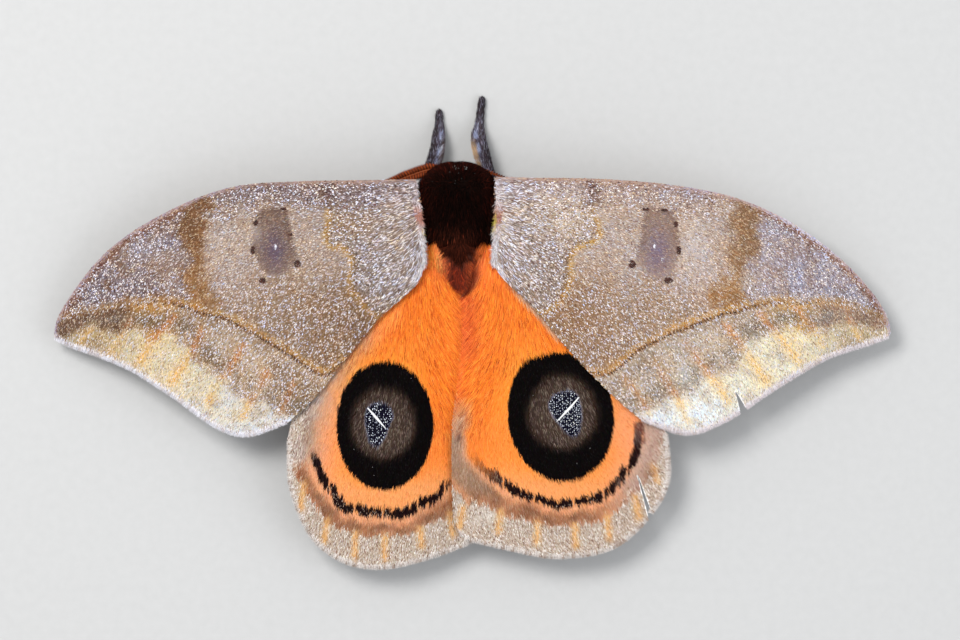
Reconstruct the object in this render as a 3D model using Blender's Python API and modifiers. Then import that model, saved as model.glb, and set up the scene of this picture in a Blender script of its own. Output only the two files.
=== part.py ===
"""Automeris amanda, a silk moth, life size: wings spread, hindwings shown, standing on its six feet.

Frame: metres, +Z up. +Y is towards the head, +X is the moth's right side. The origin is on the floor, under the middle
of the outline. Sizes below are in millimetres.
"""

import bpy
import bmesh
import numpy as np
from mathutils import Vector

MM = 0.001

# Where the origin lies in the plan that the outlines below are given in.
PLAN_CENTRE = (-0.1314, -0.0003)

GAP = 0.3  # clearance between neighbouring solids
WING_THICKNESS = 0.5

# Body
AXIS_X = -1.77  # the body's mid line
THORAX_MIDDLE_Y = 14.65
THORAX_LENGTH = 11.9
THORAX_WIDTH = 9.0
THORAX_HEIGHT = 10.4
THORAX_AXIS_Z = 6.3
HEAD_MIDDLE = (AXIS_X, 19.2, 5.0)
HEAD_RADII = (2.5, 1.75, 2.3)
COLLAR_FULLNESS = 3.6
COLLAR_REACH = 0.37  # the front half of the thorax is longer than the rear half by this much
COLLAR_RISE = 1.5
EYE_RADIUS = 1.05
EYE_SPREAD = 2.05
ABDOMEN_LENGTH = 22.5
ABDOMEN_WIDTH = 7.4
ABDOMEN_HEIGHT = 5.8
TUFT_LENGTH = 5.6
ANTENNA_WIDTH = 1.35
ANTENNA_THICKNESS = 0.56

# The domed plane that the wings lie in: highest at the thorax, falling to the sides and to the rear.
WING_ROOT_Z = 8.7
DOME_LINE_Y = 12.6  # behind this line the wings fall away to the rear
DROOP_LEFT = 0.0026
DROOP_RIGHT = 0.0019
DROOP_REAR = 0.0022
VALLEY_DEPTH = 0.7  # along the line where the two hindwings meet
VALLEY_X = -1.1
VALLEY_WIDTH = 3.2
LAYER = 0.45  # half the step between forewing and hindwing
OVERLAP = 0.45  # half the step between the two hindwings at the middle
FORE_CAMBER = 0.75
HIND_CAMBER = 0.55

# Wing outlines, a few landmarks on each edge: along the front edge from the root, round the outer edge, and along the
# inner edge from the root.
FOREWING_LEFT = {
    "lead": [(-6.9, 18.7), (-14.4, 18.6), (-21.1, 18.5), (-29.6, 17.8), (-38.1, 14.5), (-44.9, 10.0), (-49.5, 4.5), (-51.25, 1.4), (-51.6, -0.75)],
    "outer": [(-51.6, -0.75), (-49.6, -1.75), (-46.6, -2.75), (-42.3, -4.5), (-37.0, -7.8), (-30.8, -12.0), (-27.7, -12.7), (-22.7, -11.1)],
    "inner": [(-5.8, 8.7), (-6.6, 6.2), (-11.1, 2.0), (-15.8, -3.6), (-19.1, -7.8), (-22.7, -11.1)],
    "root": [(-6.9, 18.7), (-6.4, 15.6), (-6.0, 12.1), (-5.8, 8.7)],
}
FOREWING_RIGHT = {
    "lead": [(2.9, 19.0), (7.8, 18.9), (14.8, 18.8), (24.2, 18.1), (32.3, 16.5), (39.3, 13.4), (46.3, 8.1), (50.6, 2.9), (51.45, 0.5), (51.35, -0.6)],
    "outer": [(51.35, -0.6), (48.7, -1.55), (43.9, -3.1), (37.0, -7.1), (31.1, -10.9), (26.4, -12.5), (20.7, -10.7)],
    "inner": [(2.5, 8.7), (3.5, 7.0), (7.3, 3.2), (12.5, -2.9), (16.6, -7.1), (20.7, -10.7)],
    "root": [(2.9, 19.0), (2.9, 15.6), (2.7, 12.1), (2.5, 8.7)],
}
HINDWING_LEFT = {
    "lead": [(-5.5, 10.7), (-9.8, 8.0), (-15.6, 1.8), (-20.5, -4.8), (-22.7, -13.3)],
    "outer": [(-22.7, -13.3), (-22.4, -19.1), (-19.5, -25.6), (-15.4, -28.4), (-11.1, -29.0), (-5.3, -27.8), (0.2, -25.8)],
    "inner": [(-1.5, 8.1), (-0.3, 0.4), (0.0, -8.2), (0.1, -18.0), (0.2, -25.8)],
    "root": [(-5.5, 10.7), (-4.7, 9.1), (-3.1, 8.3), (-1.5, 8.1)],
}
HINDWING_RIGHT = {
    "lead": [(2.2, 10.7), (6.1, 7.7), (12.0, 1.6), (18.1, -5.5), (24.0, -12.4)],
    "outer": [(24.0, -12.4), (24.2, -18.3), (21.8, -22.7), (17.4, -26.5), (10.3, -27.7), (4.6, -26.7), (-1.0, -25.4)],
    "inner": [(-1.6, 8.1), (-0.9, 1.3), (-1.4, -5.5), (-2.4, -11.9), (-2.5, -18.0), (-2.1, -23.6), (-1.0, -25.4)],
    "root": [(2.2, 10.7), (1.2, 9.1), (-0.2, 8.3), (-1.6, 8.1)],
}
# Tears in the right wings: the tip of each, the middle of its mouth, and the mouth's width.
FOREWING_TEAR = ((32.3, -7.2), (33.6, -10.2), 1.0)
HINDWING_TEAR = ((20.3, -17.5), (22.2, -23.4), 0.6)

# Legs: x, y, z of the middle line and its radius, from the body to the foot.
LEGS = {
    "foreleg_left": [(-5.9, 16.3, 2.3, 0.72), (-5.85, 18.2, 2.3, 0.85), (-4.9, 20.6, 2.4, 0.98), (-4.35, 22.5, 2.3, 0.95), (-4.15, 24.4, 1.5, 0.82), (-4.1, 25.6, 0.68, 0.6), (-4.1, 26.6, 0.42, 0.52), (-4.1, 27.4, 0.36, 0.46)],
    "foreleg_right": [(2.35, 16.3, 2.3, 0.72), (2.3, 18.2, 2.3, 0.85), (1.6, 20.6, 2.45, 1.0), (1.05, 22.5, 2.35, 1.05), (0.75, 24.2, 1.65, 0.95), (0.85, 25.6, 0.75, 0.66), (1.0, 27.2, 0.42, 0.52), (1.2, 29.0, 0.36, 0.46)],
    "midleg_left": [(-5.9, 13.7, 2.4, 0.72), (-7.6, 13.0, 3.7, 0.8), (-9.9, 11.8, 4.3, 0.75), (-12.3, 10.4, 2.4, 0.62), (-13.9, 9.3, 0.6, 0.48), (-15.3, 8.2, 0.32, 0.42), (-17.2, 6.9, 0.3, 0.38)],
    "midleg_right": [(2.35, 13.7, 2.4, 0.72), (4.1, 13.0, 3.7, 0.8), (6.4, 11.8, 4.3, 0.75), (8.8, 10.4, 2.4, 0.62), (10.4, 9.3, 0.6, 0.48), (11.8, 8.2, 0.32, 0.42), (13.7, 6.9, 0.3, 0.38)],
    "hindleg_left": [(-5.7, 11.0, 2.4, 0.72), (-7.3, 8.6, 3.7, 0.8), (-8.8, 5.9, 4.0, 0.75), (-9.7, 2.9, 2.4, 0.62), (-10.3, 0.4, 0.6, 0.48), (-10.7, -1.8, 0.32, 0.42), (-11.3, -5.0, 0.3, 0.38)],
    "hindleg_right": [(2.15, 11.0, 2.4, 0.72), (3.8, 8.6, 3.7, 0.8), (5.3, 5.9, 4.0, 0.75), (6.2, 2.9, 2.4, 0.62), (6.8, 0.4, 0.6, 0.48), (7.2, -1.8, 0.32, 0.42), (7.8, -5.0, 0.3, 0.38)],
}
# Feelers: x, y, z of the middle line, from the head out under the front edge of the forewing.
ANTENNA_LEFT = [(-3.15, 20.1, 7.75), (-5.4, 19.95, 7.75), (-7.6, 19.25, 7.7), (-9.7, 18.45, 7.6), (-11.9, 17.75, 7.5), (-14.1, 17.2, 7.4)]
ANTENNA_RIGHT = [(-0.4, 20.35, 7.7), (1.9, 19.75, 7.7), (4.2, 18.9, 7.6), (7.3, 18.0, 7.5), (10.5, 17.1, 7.4)]


def through(points, count):
    """Evenly spaced points on a smooth curve through the given ones (centripetal Catmull-Rom)."""
    p = np.array(points, float)
    p = np.vstack([2 * p[0] - p[1], p, 2 * p[-1] - p[-2]])
    fine = []
    for i in range(1, len(p) - 2):
        p0, p1, p2, p3 = p[i - 1 : i + 3]
        t0 = 0.0
        t1 = t0 + np.linalg.norm(p1 - p0) ** 0.5
        t2 = t1 + np.linalg.norm(p2 - p1) ** 0.5
        t3 = t2 + np.linalg.norm(p3 - p2) ** 0.5
        t = np.linspace(t1, t2, 24, endpoint=False)[:, None]
        a1 = (t1 - t) / (t1 - t0) * p0 + (t - t0) / (t1 - t0) * p1
        a2 = (t2 - t) / (t2 - t1) * p1 + (t - t1) / (t2 - t1) * p2
        a3 = (t3 - t) / (t3 - t2) * p2 + (t - t2) / (t3 - t2) * p3
        b1 = (t2 - t) / (t2 - t0) * a1 + (t - t0) / (t2 - t0) * a2
        b2 = (t3 - t) / (t3 - t1) * a2 + (t - t1) / (t3 - t1) * a3
        fine.append((t2 - t) / (t2 - t1) * b1 + (t - t1) / (t2 - t1) * b2)
    fine = np.vstack(fine + [p[-2][None]])
    along = np.concatenate([[0], np.cumsum(np.linalg.norm(np.diff(fine, axis=0), axis=1))])
    wanted = np.linspace(0, along[-1], count)
    return np.stack([np.interp(wanted, along, fine[:, k]) for k in range(fine.shape[1])], axis=1)


def step(low, high, value):
    t = np.clip((value - low) / (high - low), 0, 1)
    return t * t * (3 - 2 * t)


def dome(x, y):
    """Height of the plane that the wings lie in."""
    side = x - AXIS_X
    rear = np.maximum(DOME_LINE_Y - y, 0)
    droop = DROOP_LEFT if side < 0 else DROOP_RIGHT
    return WING_ROOT_Z - droop * side**2 - DROOP_REAR * rear**2


def forewing_height(x, y, u, v):
    return dome(x, y) + LAYER + FORE_CAMBER * 4 * v * (1 - v) * (1 - u**3)


def valley(x):
    return VALLEY_DEPTH * np.exp(-(((x - VALLEY_X) / VALLEY_WIDTH) ** 2))


def hindwing_left_height(x, y, u, v):
    middle = step(-8.8, -2.5, x)
    return dome(x, y) - LAYER - OVERLAP * middle - valley(x) + HIND_CAMBER * np.sin(np.pi * v) * u * (1 - middle)


def hindwing_right_height(x, y, u, v):
    middle = 1 - step(-0.3, 5.9, x)
    return dome(x, y) - LAYER + OVERLAP * middle - valley(x) + HIND_CAMBER * np.sin(np.pi * v) * u * (1 - middle)


def material(name, colour, roughness):
    made = bpy.data.materials.new(name)
    made.use_nodes = True
    shader = made.node_tree.nodes["Principled BSDF"]
    shader.inputs["Base Color"].default_value = (*colour, 1)
    shader.inputs["Roughness"].default_value = roughness
    shader.inputs["Metallic"].default_value = 0
    return made


def object_from(name, bm, finish, smooth=True):
    mesh = bpy.data.meshes.new(name)
    bm.normal_update()
    bmesh.ops.recalc_face_normals(bm, faces=bm.faces)
    for vertex in bm.verts:
        vertex.co *= MM
    bm.to_mesh(mesh)
    bm.free()
    obj = bpy.data.objects.new(name, mesh)
    if smooth:
        mesh.shade_smooth()
    if finish:
        mesh.materials.append(finish)
    return obj


def keep(obj, parent):
    parts.objects.link(obj)
    obj.parent = parent
    return obj


def cut(obj, cutter):
    if cutter.name not in cutters.objects:
        cutters.objects.link(cutter)
        cutter.parent = root
        cutter.hide_render = True
        cutter.display_type = "WIRE"
    boolean = obj.modifiers.new("cut_" + cutter.name, "BOOLEAN")
    boolean.operation = "DIFFERENCE"
    boolean.solver = "EXACT"
    boolean.object = cutter
    return boolean


def wing(name, edges, height, along, across, finish):
    """A sheet between four edge curves, raised to its height, and given its thickness."""
    lead = through(edges["lead"], along + 1)
    inner = through(edges["inner"], along + 1)
    base = through(edges["root"], across + 1)
    outer = through(edges["outer"], across + 1)
    bm = bmesh.new()
    bmesh.ops.create_grid(bm, x_segments=along, y_segments=across, size=0.5)
    for vertex in bm.verts:
        u, v = vertex.co.x + 0.5, vertex.co.y + 0.5
        i, j = round(u * along), round(v * across)
        point = (1 - v) * lead[i] + v * inner[i] + (1 - u) * base[j] + u * outer[j]
        point -= (1 - u) * (1 - v) * lead[0] + u * (1 - v) * lead[-1] + (1 - u) * v * inner[0] + u * v * inner[-1]
        vertex.co = (point[0], point[1], height(point[0], point[1], u, v))
    obj = object_from(name, bm, finish)
    solid = obj.modifiers.new("thickness", "SOLIDIFY")
    solid.thickness = WING_THICKNESS * MM
    solid.offset = 0
    return keep(obj, root)


def tear(name, tip, mouth, width):
    """A thin standing wedge, narrow at the tip and open at the wing's edge."""
    tip, mouth = np.array(tip), np.array(mouth)
    run = (mouth - tip) / np.linalg.norm(mouth - tip)
    side = np.array([-run[1], run[0]])
    bm = bmesh.new()
    bmesh.ops.create_cube(bm, size=1)
    for vertex in bm.verts:
        reach, across, up = vertex.co.x + 0.5, vertex.co.y * 2, vertex.co.z + 0.5
        point = tip + run * reach * np.linalg.norm(mouth - tip) + side * across * (0.04 + reach * width / 2)
        vertex.co = (point[0], point[1], up * 16)
    return object_from(name, bm, None, smooth=False)


def thorax_section(s, grow=0.0):
    """Half width, half height and middle height of the thorax at s, from -1 at its rear to 1 at its front."""
    forward = max(s, 0) ** 3  # the collar is full, and hangs over the head
    round_off = max(1 - min(abs(s), 1) ** (COLLAR_FULLNESS if s > 0 else 2.7), 0) ** 0.5
    half_width = THORAX_WIDTH / 2 * (1 + 0.14 * s)
    half_height = THORAX_HEIGHT / 2 * (1 - 0.3 * forward)
    return (half_width + grow) * round_off, (half_height + grow) * round_off, THORAX_AXIS_Z + 0.45 * s + COLLAR_RISE * forward


def thorax_form(name, finish, grow=0.0):
    bm = bmesh.new()
    bmesh.ops.create_uvsphere(bm, u_segments=20, v_segments=14, radius=1)
    for vertex in bm.verts:
        s = max(min(vertex.co.z, 1), -1)
        ring = max((1 - s * s) ** 0.5, 1e-9)
        a, b = vertex.co.x / ring, vertex.co.y / ring
        if abs(s) > 0.9999:
            a = b = 0.0
        half_width, half_height, middle = thorax_section(s, grow)
        a = np.sign(a) * abs(a) ** 0.8
        b = np.sign(b) * abs(b) ** 0.8
        reach = THORAX_LENGTH / 2 + (COLLAR_REACH if s > 0 else 0) + grow
        vertex.co = (AXIS_X + half_width * a, THORAX_MIDDLE_Y + reach * s, middle + half_height * b)
    return object_from(name, bm, finish)


def ball(name, middle, radii, finish, grow=0.0, segments=16, rings=10):
    bm = bmesh.new()
    bmesh.ops.create_uvsphere(bm, u_segments=segments, v_segments=rings, radius=1)
    for vertex in bm.verts:
        vertex.co = [m + (r + grow) * c for m, r, c in zip(middle, radii, vertex.co)]
    return object_from(name, bm, finish)


def swept(name, path, half_width, half_height, finish, around=14, rings=16, grow=0.0):
    """A round-ended form along a path, from a sphere: its width and height follow two functions of the way along."""
    line = through(path, 60)
    bm = bmesh.new()
    bmesh.ops.create_uvsphere(bm, u_segments=around, v_segments=rings, radius=1)
    for vertex in bm.verts:
        s = max(min(vertex.co.z, 1), -1)
        ring = (1 - s * s) ** 0.5
        a, b = (vertex.co.x / ring, vertex.co.y / ring) if ring > 1e-4 else (0.0, 0.0)
        t = (1 + s) / 2
        at = t * (len(line) - 1)
        i = min(int(at), len(line) - 2)
        here = line[i] + (line[i + 1] - line[i]) * (at - i)
        forward = Vector(line[i + 1] - line[i]).normalized()
        side = forward.cross(Vector((0, 0, 1))).normalized()
        up = side.cross(forward)
        here = here + np.array(forward) * grow * s
        round_off = (1 - abs(s) ** 6) ** 0.5
        vertex.co = Vector(here) + side * a * (half_width(t) + grow) * round_off + up * b * (half_height(t) + grow) * round_off
    return object_from(name, bm, finish)


def abdomen_form(name, finish, grow=0.0):
    front = THORAX_MIDDLE_Y - THORAX_LENGTH / 2 + 2.0
    path = [
        (AXIS_X, front, 3.75),
        (AXIS_X + 0.05, front - 0.35 * ABDOMEN_LENGTH, 3.5),
        (AXIS_X + 0.15, front - 0.7 * ABDOMEN_LENGTH, 2.9),
        (AXIS_X + 0.2, front - ABDOMEN_LENGTH, 2.1),
    ]

    def taper(t):
        return (0.72 + 0.5 * t - 0.22 * t * t) * (1 - 0.62 * t**2.2)

    return swept(
        name, path,
        lambda t: ABDOMEN_WIDTH / 2 * taper(t),
        lambda t: ABDOMEN_HEIGHT / 2 * taper(t),
        finish, around=14, rings=16, grow=grow,
    )


def antenna(name, path, finish, grow=0.0):
    """A flat feather-shaped blade."""
    return swept(
        name, path,
        lambda t: ANTENNA_WIDTH / 2 * (0.45 + 0.55 * np.sin(np.pi * min(t * 1.15 + 0.12, 1)) ** 0.6) if t < 0.75 else ANTENNA_WIDTH / 2 * (0.42 + 0.9 * (1 - t)),
        lambda t: ANTENNA_THICKNESS / 2,
        finish, around=8, rings=12, grow=grow,
    )


def leg(name, path, finish):
    """A round-jointed tube whose foot is flat where it meets the floor."""
    line = through(path, 11)
    data = bpy.data.curves.new(name + "_line", "CURVE")
    data.dimensions = "3D"
    data.bevel_depth = 1 * MM
    data.bevel_resolution = 2
    data.use_fill_caps = True
    spline = data.splines.new("POLY")
    spline.points.add(len(line) - 1)
    for point, (x, y, z, radius) in zip(spline.points, line):
        point.co = (x * MM, y * MM, z * MM, 1)
        point.radius = radius
    tube = bpy.data.objects.new(name + "_line", data)
    parts.objects.link(tube)
    bpy.context.view_layer.update()
    mesh = bpy.data.meshes.new_from_object(tube.evaluated_get(bpy.context.evaluated_depsgraph_get()))
    mesh.name = name
    bpy.data.objects.remove(tube)
    bm = bmesh.new()
    bm.from_mesh(mesh)
    bmesh.ops.remove_doubles(bm, verts=bm.verts, dist=0.000001)
    whole = bm.verts[:] + bm.edges[:] + bm.faces[:]
    made = bmesh.ops.bisect_plane(bm, geom=whole, plane_co=(0, 0, 0), plane_no=(0, 0, -1), clear_outer=True)
    rim = [item for item in made["geom_cut"] if isinstance(item, bmesh.types.BMEdge)]
    bmesh.ops.holes_fill(bm, edges=rim, sides=0)
    bm.normal_update()
    bmesh.ops.recalc_face_normals(bm, faces=bm.faces)
    bm.to_mesh(mesh)
    bm.free()
    mesh.materials.clear()
    mesh.materials.append(finish)
    mesh.shade_smooth()
    return keep(bpy.data.objects.new(name, mesh), root)


for old in list(bpy.data.objects):
    bpy.data.objects.remove(old, do_unlink=True)

parts = bpy.data.collections.new("automeris_amanda")
cutters = bpy.data.collections.new("cutters")
bpy.context.scene.collection.children.link(parts)
bpy.context.scene.collection.children.link(cutters)
root = bpy.data.objects.new("moth_root", None)
root.location = (-PLAN_CENTRE[0] * MM, -PLAN_CENTRE[1] * MM, 0)
parts.objects.link(root)

dark_fur = material("dark_fur", (0.012, 0.004, 0.003), 0.9)
tuft_fur = material("tuft_fur", (0.16, 0.022, 0.008), 0.85)
abdomen_fur = material("abdomen_fur", (0.55, 0.14, 0.04), 0.85)
fore_scale = material("forewing_scales", (0.31, 0.23, 0.18), 0.75)
hind_scale = material("hindwing_scales", (0.95, 0.20, 0.02), 0.75)
leg_fur = material("leg_fur", (0.11, 0.09, 0.13), 0.9)
feeler = material("antenna", (0.24, 0.05, 0.012), 0.6)
eye_dark = material("eye", (0.01, 0.007, 0.006), 0.2)
palp_fur = material("palp_fur", (0.10, 0.03, 0.015), 0.9)

# Wings
wing("forewing_left", FOREWING_LEFT, forewing_height, 24, 10, fore_scale)
right_fore = wing("forewing_right", FOREWING_RIGHT, forewing_height, 24, 10, fore_scale)
wing("hindwing_left", HINDWING_LEFT, hindwing_left_height, 16, 14, hind_scale)
right_hind = wing("hindwing_right", HINDWING_RIGHT, hindwing_right_height, 16, 14, hind_scale)
cut(right_fore, tear("forewing_tear", *FOREWING_TEAR))
cut(right_hind, tear("hindwing_tear", *HINDWING_TEAR))

# Head, with a socket for each eye
head = keep(ball("head", HEAD_MIDDLE, HEAD_RADII, dark_fur), root)
sockets = []
for side_name, sign in (("left", -1), ("right", 1)):
    eye_middle = (HEAD_MIDDLE[0] + sign * EYE_SPREAD, HEAD_MIDDLE[1] + 0.15, HEAD_MIDDLE[2] - 0.2)
    eye_radii = (EYE_RADIUS * 0.92, EYE_RADIUS, EYE_RADIUS)
    keep(ball("eye_" + side_name, eye_middle, eye_radii, eye_dark, segments=12, rings=8), root)
    sockets.append(ball("socket_" + side_name, eye_middle, eye_radii, None, grow=0.15, segments=12, rings=8))
    cut(head, sockets[-1])
    palp_path = [
        (HEAD_MIDDLE[0] + sign * 0.55, HEAD_MIDDLE[1] + 0.75, 2.25),
        (HEAD_MIDDLE[0] + sign * 0.6, HEAD_MIDDLE[1] + 1.2, 2.2),
        (HEAD_MIDDLE[0] + sign * 0.62, HEAD_MIDDLE[1] + 1.7, 2.5),
    ]
    keep(swept("palp_" + side_name, palp_path, lambda t: 0.32 - 0.05 * t, lambda t: 0.32 - 0.05 * t, palp_fur, around=8, rings=6), root)

keep(antenna("antenna_left", ANTENNA_LEFT, feeler), root)
keep(antenna("antenna_right", ANTENNA_RIGHT, feeler), root)

# Thorax, hollowed where the head and the abdomen meet it
thorax = keep(thorax_form("thorax", dark_fur), root)
keep(abdomen_form("abdomen", abdomen_fur), root)
cut(thorax, ball("head_seat", HEAD_MIDDLE, HEAD_RADII, None, grow=GAP))
cut(thorax, abdomen_form("abdomen_seat", None, grow=GAP))
for socket in sockets:
    cut(thorax, socket)
cut(thorax, antenna("antenna_seat_left", ANTENNA_LEFT, None, grow=GAP))
cut(thorax, antenna("antenna_seat_right", ANTENNA_RIGHT, None, grow=GAP))

# The tuft of long hair that trails from the thorax over the hindwings' roots
tuft_front = THORAX_MIDDLE_Y - THORAX_LENGTH / 2 + 1.6
tuft_path = [
    (AXIS_X, tuft_front, 10.05),
    (AXIS_X + 0.1, tuft_front - TUFT_LENGTH / 2, 9.75),
    (AXIS_X + 0.35, tuft_front - TUFT_LENGTH, 9.15),
]
tuft = keep(
    swept("thorax_tuft", tuft_path, lambda t: 2.1 - 1.5 * t, lambda t: 0.72 - 0.36 * t, tuft_fur, around=10, rings=10),
    root,
)
cut(tuft, thorax_form("thorax_seat", None, grow=GAP))

# Legs
for leg_name, leg_path in LEGS.items():
    leg(leg_name, leg_path, leg_fur)
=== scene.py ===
import math

import bmesh
import bpy
import numpy as np
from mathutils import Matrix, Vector


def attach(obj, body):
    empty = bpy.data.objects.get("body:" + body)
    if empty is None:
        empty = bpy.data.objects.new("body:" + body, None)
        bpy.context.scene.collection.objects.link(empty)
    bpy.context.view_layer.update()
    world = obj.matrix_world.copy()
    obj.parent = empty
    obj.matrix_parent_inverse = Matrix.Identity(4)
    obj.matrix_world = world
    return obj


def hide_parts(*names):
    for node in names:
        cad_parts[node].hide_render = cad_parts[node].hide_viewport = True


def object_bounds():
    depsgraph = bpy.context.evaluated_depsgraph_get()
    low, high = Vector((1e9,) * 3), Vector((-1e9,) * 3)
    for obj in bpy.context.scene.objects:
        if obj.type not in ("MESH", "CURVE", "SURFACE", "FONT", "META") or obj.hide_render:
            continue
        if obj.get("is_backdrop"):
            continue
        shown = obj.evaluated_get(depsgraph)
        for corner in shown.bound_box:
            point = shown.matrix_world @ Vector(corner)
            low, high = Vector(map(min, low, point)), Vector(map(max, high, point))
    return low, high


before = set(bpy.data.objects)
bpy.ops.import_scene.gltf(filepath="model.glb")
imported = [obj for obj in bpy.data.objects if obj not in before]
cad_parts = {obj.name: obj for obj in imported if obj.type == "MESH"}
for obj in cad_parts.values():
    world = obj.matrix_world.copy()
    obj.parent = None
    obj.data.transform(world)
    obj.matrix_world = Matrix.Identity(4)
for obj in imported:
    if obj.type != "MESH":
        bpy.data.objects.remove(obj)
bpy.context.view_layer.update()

MM = 0.001
UNIT = 0.1225  # millimetres in one unit of the flat plan that the markings are given in
PLAN_X, PLAN_Y = 472.25, 333.0  # the plan's point over the origin
SHIFT = np.array([0.1314, 0.0003])  # millimetres
TAU = 2 * math.pi
PAPER = 0.66


def mm_of(px, py):
    return (np.asarray(px, float) - PLAN_X) * UNIT + SHIFT[0], (PLAN_Y - np.asarray(py, float)) * UNIT + SHIFT[1]


def plan_of(x, y):
    return (np.asarray(x, float) - SHIFT[0]) / UNIT + PLAN_X, PLAN_Y - (np.asarray(y, float) - SHIFT[1]) / UNIT


def through(points, count):
    """Evenly spaced points on a smooth curve through the given ones (centripetal Catmull-Rom)."""
    p = np.array(points, float)
    p = np.vstack([2 * p[0] - p[1], p, 2 * p[-1] - p[-2]])
    fine = []
    for i in range(1, len(p) - 2):
        p0, p1, p2, p3 = p[i - 1 : i + 3]
        t0 = 0.0
        t1 = t0 + np.linalg.norm(p1 - p0) ** 0.5
        t2 = t1 + np.linalg.norm(p2 - p1) ** 0.5
        t3 = t2 + np.linalg.norm(p3 - p2) ** 0.5
        t = np.linspace(t1, t2, 24, endpoint=False)[:, None]
        a1 = (t1 - t) / (t1 - t0) * p0 + (t - t0) / (t1 - t0) * p1
        a2 = (t2 - t) / (t2 - t1) * p1 + (t - t1) / (t2 - t1) * p2
        a3 = (t3 - t) / (t3 - t2) * p2 + (t - t2) / (t3 - t2) * p3
        b1 = (t2 - t) / (t2 - t0) * a1 + (t - t0) / (t2 - t0) * a2
        b2 = (t3 - t) / (t3 - t1) * a2 + (t - t1) / (t3 - t1) * a3
        fine.append((t2 - t) / (t2 - t1) * b1 + (t - t1) / (t2 - t1) * b2)
    fine = np.vstack(fine + [p[-2][None]])
    along = np.concatenate([[0], np.cumsum(np.linalg.norm(np.diff(fine, axis=0), axis=1))])
    wanted = np.linspace(0, along[-1], count)
    return np.stack([np.interp(wanted, along, fine[:, k]) for k in range(fine.shape[1])], axis=1)


def step(low, high, value):
    t = np.clip((value - low) / (high - low), 0, 1)
    return t * t * (3 - 2 * t)


def bell(value, width):
    return np.exp(-((value / width) ** 2))


def lattice(a, b, seed):
    n = a.astype(np.int64) * 374761393 + b.astype(np.int64) * 668265263 + seed * 974634777
    n = (n & 0xFFFFFFFF).astype(np.uint64)
    n = ((n ^ (n >> np.uint64(13))) * np.uint64(1274126177)) & np.uint64(0xFFFFFFFF)
    n = n ^ (n >> np.uint64(16))
    return n.astype(float) / 4294967295.0


def noise(x, y, size, seed):
    """Smooth value noise from 0 to 1, with features of the given size."""
    xs, ys = np.asarray(x, float) / size, np.asarray(y, float) / size
    xi, yi = np.floor(xs), np.floor(ys)
    xf, yf = xs - xi, ys - yi
    xf, yf = xf * xf * (3 - 2 * xf), yf * yf * (3 - 2 * yf)
    low = lattice(xi, yi, seed) * (1 - xf) + lattice(xi + 1, yi, seed) * xf
    high = lattice(xi, yi + 1, seed) * (1 - xf) + lattice(xi + 1, yi + 1, seed) * xf
    return low * (1 - yf) + high * yf


class Line:
    """A smooth line in the plan, with the signed distance of any point from it."""

    def __init__(self, points, towards=None, count=70):
        self.at = through(points, count)
        self.sign = 1.0
        if towards is not None:
            self.sign = float(np.sign(self.side(np.array([towards[0]], float), np.array([towards[1]], float))[0][0]))

    def side(self, px, py):
        distance = np.full(px.shape, 1e9)
        signed = np.zeros(px.shape)
        along = np.zeros(px.shape)
        last = len(self.at) - 1
        for i in range(last):
            a, b = self.at[i], self.at[i + 1]
            d = b - a
            size = d @ d
            t = np.clip(((px - a[0]) * d[0] + (py - a[1]) * d[1]) / size, 0, 1)
            ex, ey = px - a[0] - t * d[0], py - a[1] - t * d[1]
            far = ex * ex + ey * ey
            near = far < distance
            distance = np.where(near, far, distance)
            signed = np.where(near, d[0] * (py - a[1]) - d[1] * (px - a[0]), signed)
            along = np.where(near, (i + t) / last, along)
        return np.where(signed < 0, -1.0, 1.0) * np.sqrt(distance), along

    def field(self, px, py):
        signed, along = self.side(px, py)
        return signed * self.sign, along


def mix(colour, other, weight):
    return colour + (np.asarray(other, float) - colour) * np.asarray(weight)[:, None]


def linear(colour):
    """Display values under the studio's light, 255 being white paper, as the paint's own linear ones."""
    c = np.clip(np.asarray(colour, float) / 255, 0, 1.33)
    return np.clip(np.where(c <= 0.04045, c / 12.92, ((c + 0.055) / 1.055) ** 2.4) * PAPER, 0, 0.985)


# ---------------------------------------------------------------- camera, light and floor

VIEW_X, VIEW_Y = mm_of(480, 320)
CAMERA_HEIGHT = 600.0
FOCUS_PLANE = 7.0
camera_data = bpy.data.cameras.new("camera")
camera_data.sensor_width = 36
camera_data.sensor_fit = "HORIZONTAL"
camera_data.lens = 36 * (CAMERA_HEIGHT - FOCUS_PLANE) / (960 * UNIT)
camera_data.clip_start = 0.01
camera_data.dof.use_dof = False
camera = bpy.data.objects.new("camera", camera_data)
camera.location = (float(VIEW_X) * MM, float(VIEW_Y) * MM, CAMERA_HEIGHT * MM)
bpy.context.scene.collection.objects.link(camera)
bpy.context.scene.camera = camera
bpy.context.scene.view_settings.view_transform = "Standard"
bpy.context.scene.view_settings.look = "None"
bpy.context.scene.view_settings.exposure = 0
bpy.context.scene.view_settings.gamma = 1


def area_light(name, place, aim, size, power, colour):
    data = bpy.data.lights.new(name, "AREA")
    data.shape = "SQUARE"
    data.size = size
    data.energy = power
    data.color = colour
    light = bpy.data.objects.new(name, data)
    light.location = place
    light.rotation_euler = (Vector(aim) - Vector(place)).to_track_quat("-Z", "Y").to_euler()
    bpy.context.scene.collection.objects.link(light)
    return light


area_light("key", (-0.20, 0.20, 0.46), (0, 0, 0), 0.22, 2.66, (1.0, 0.985, 0.96))
area_light("fill", (0.42, -0.12, 0.36), (0, 0, 0), 0.40, 1.15, (0.93, 0.96, 1.0))
world = bpy.data.worlds.new("studio")
world.use_nodes = True
world.node_tree.nodes["Background"].inputs["Color"].default_value = (0.96, 0.98, 1.0, 1)
world.node_tree.nodes["Background"].inputs["Strength"].default_value = 0.81
bpy.context.scene.world = world


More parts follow.
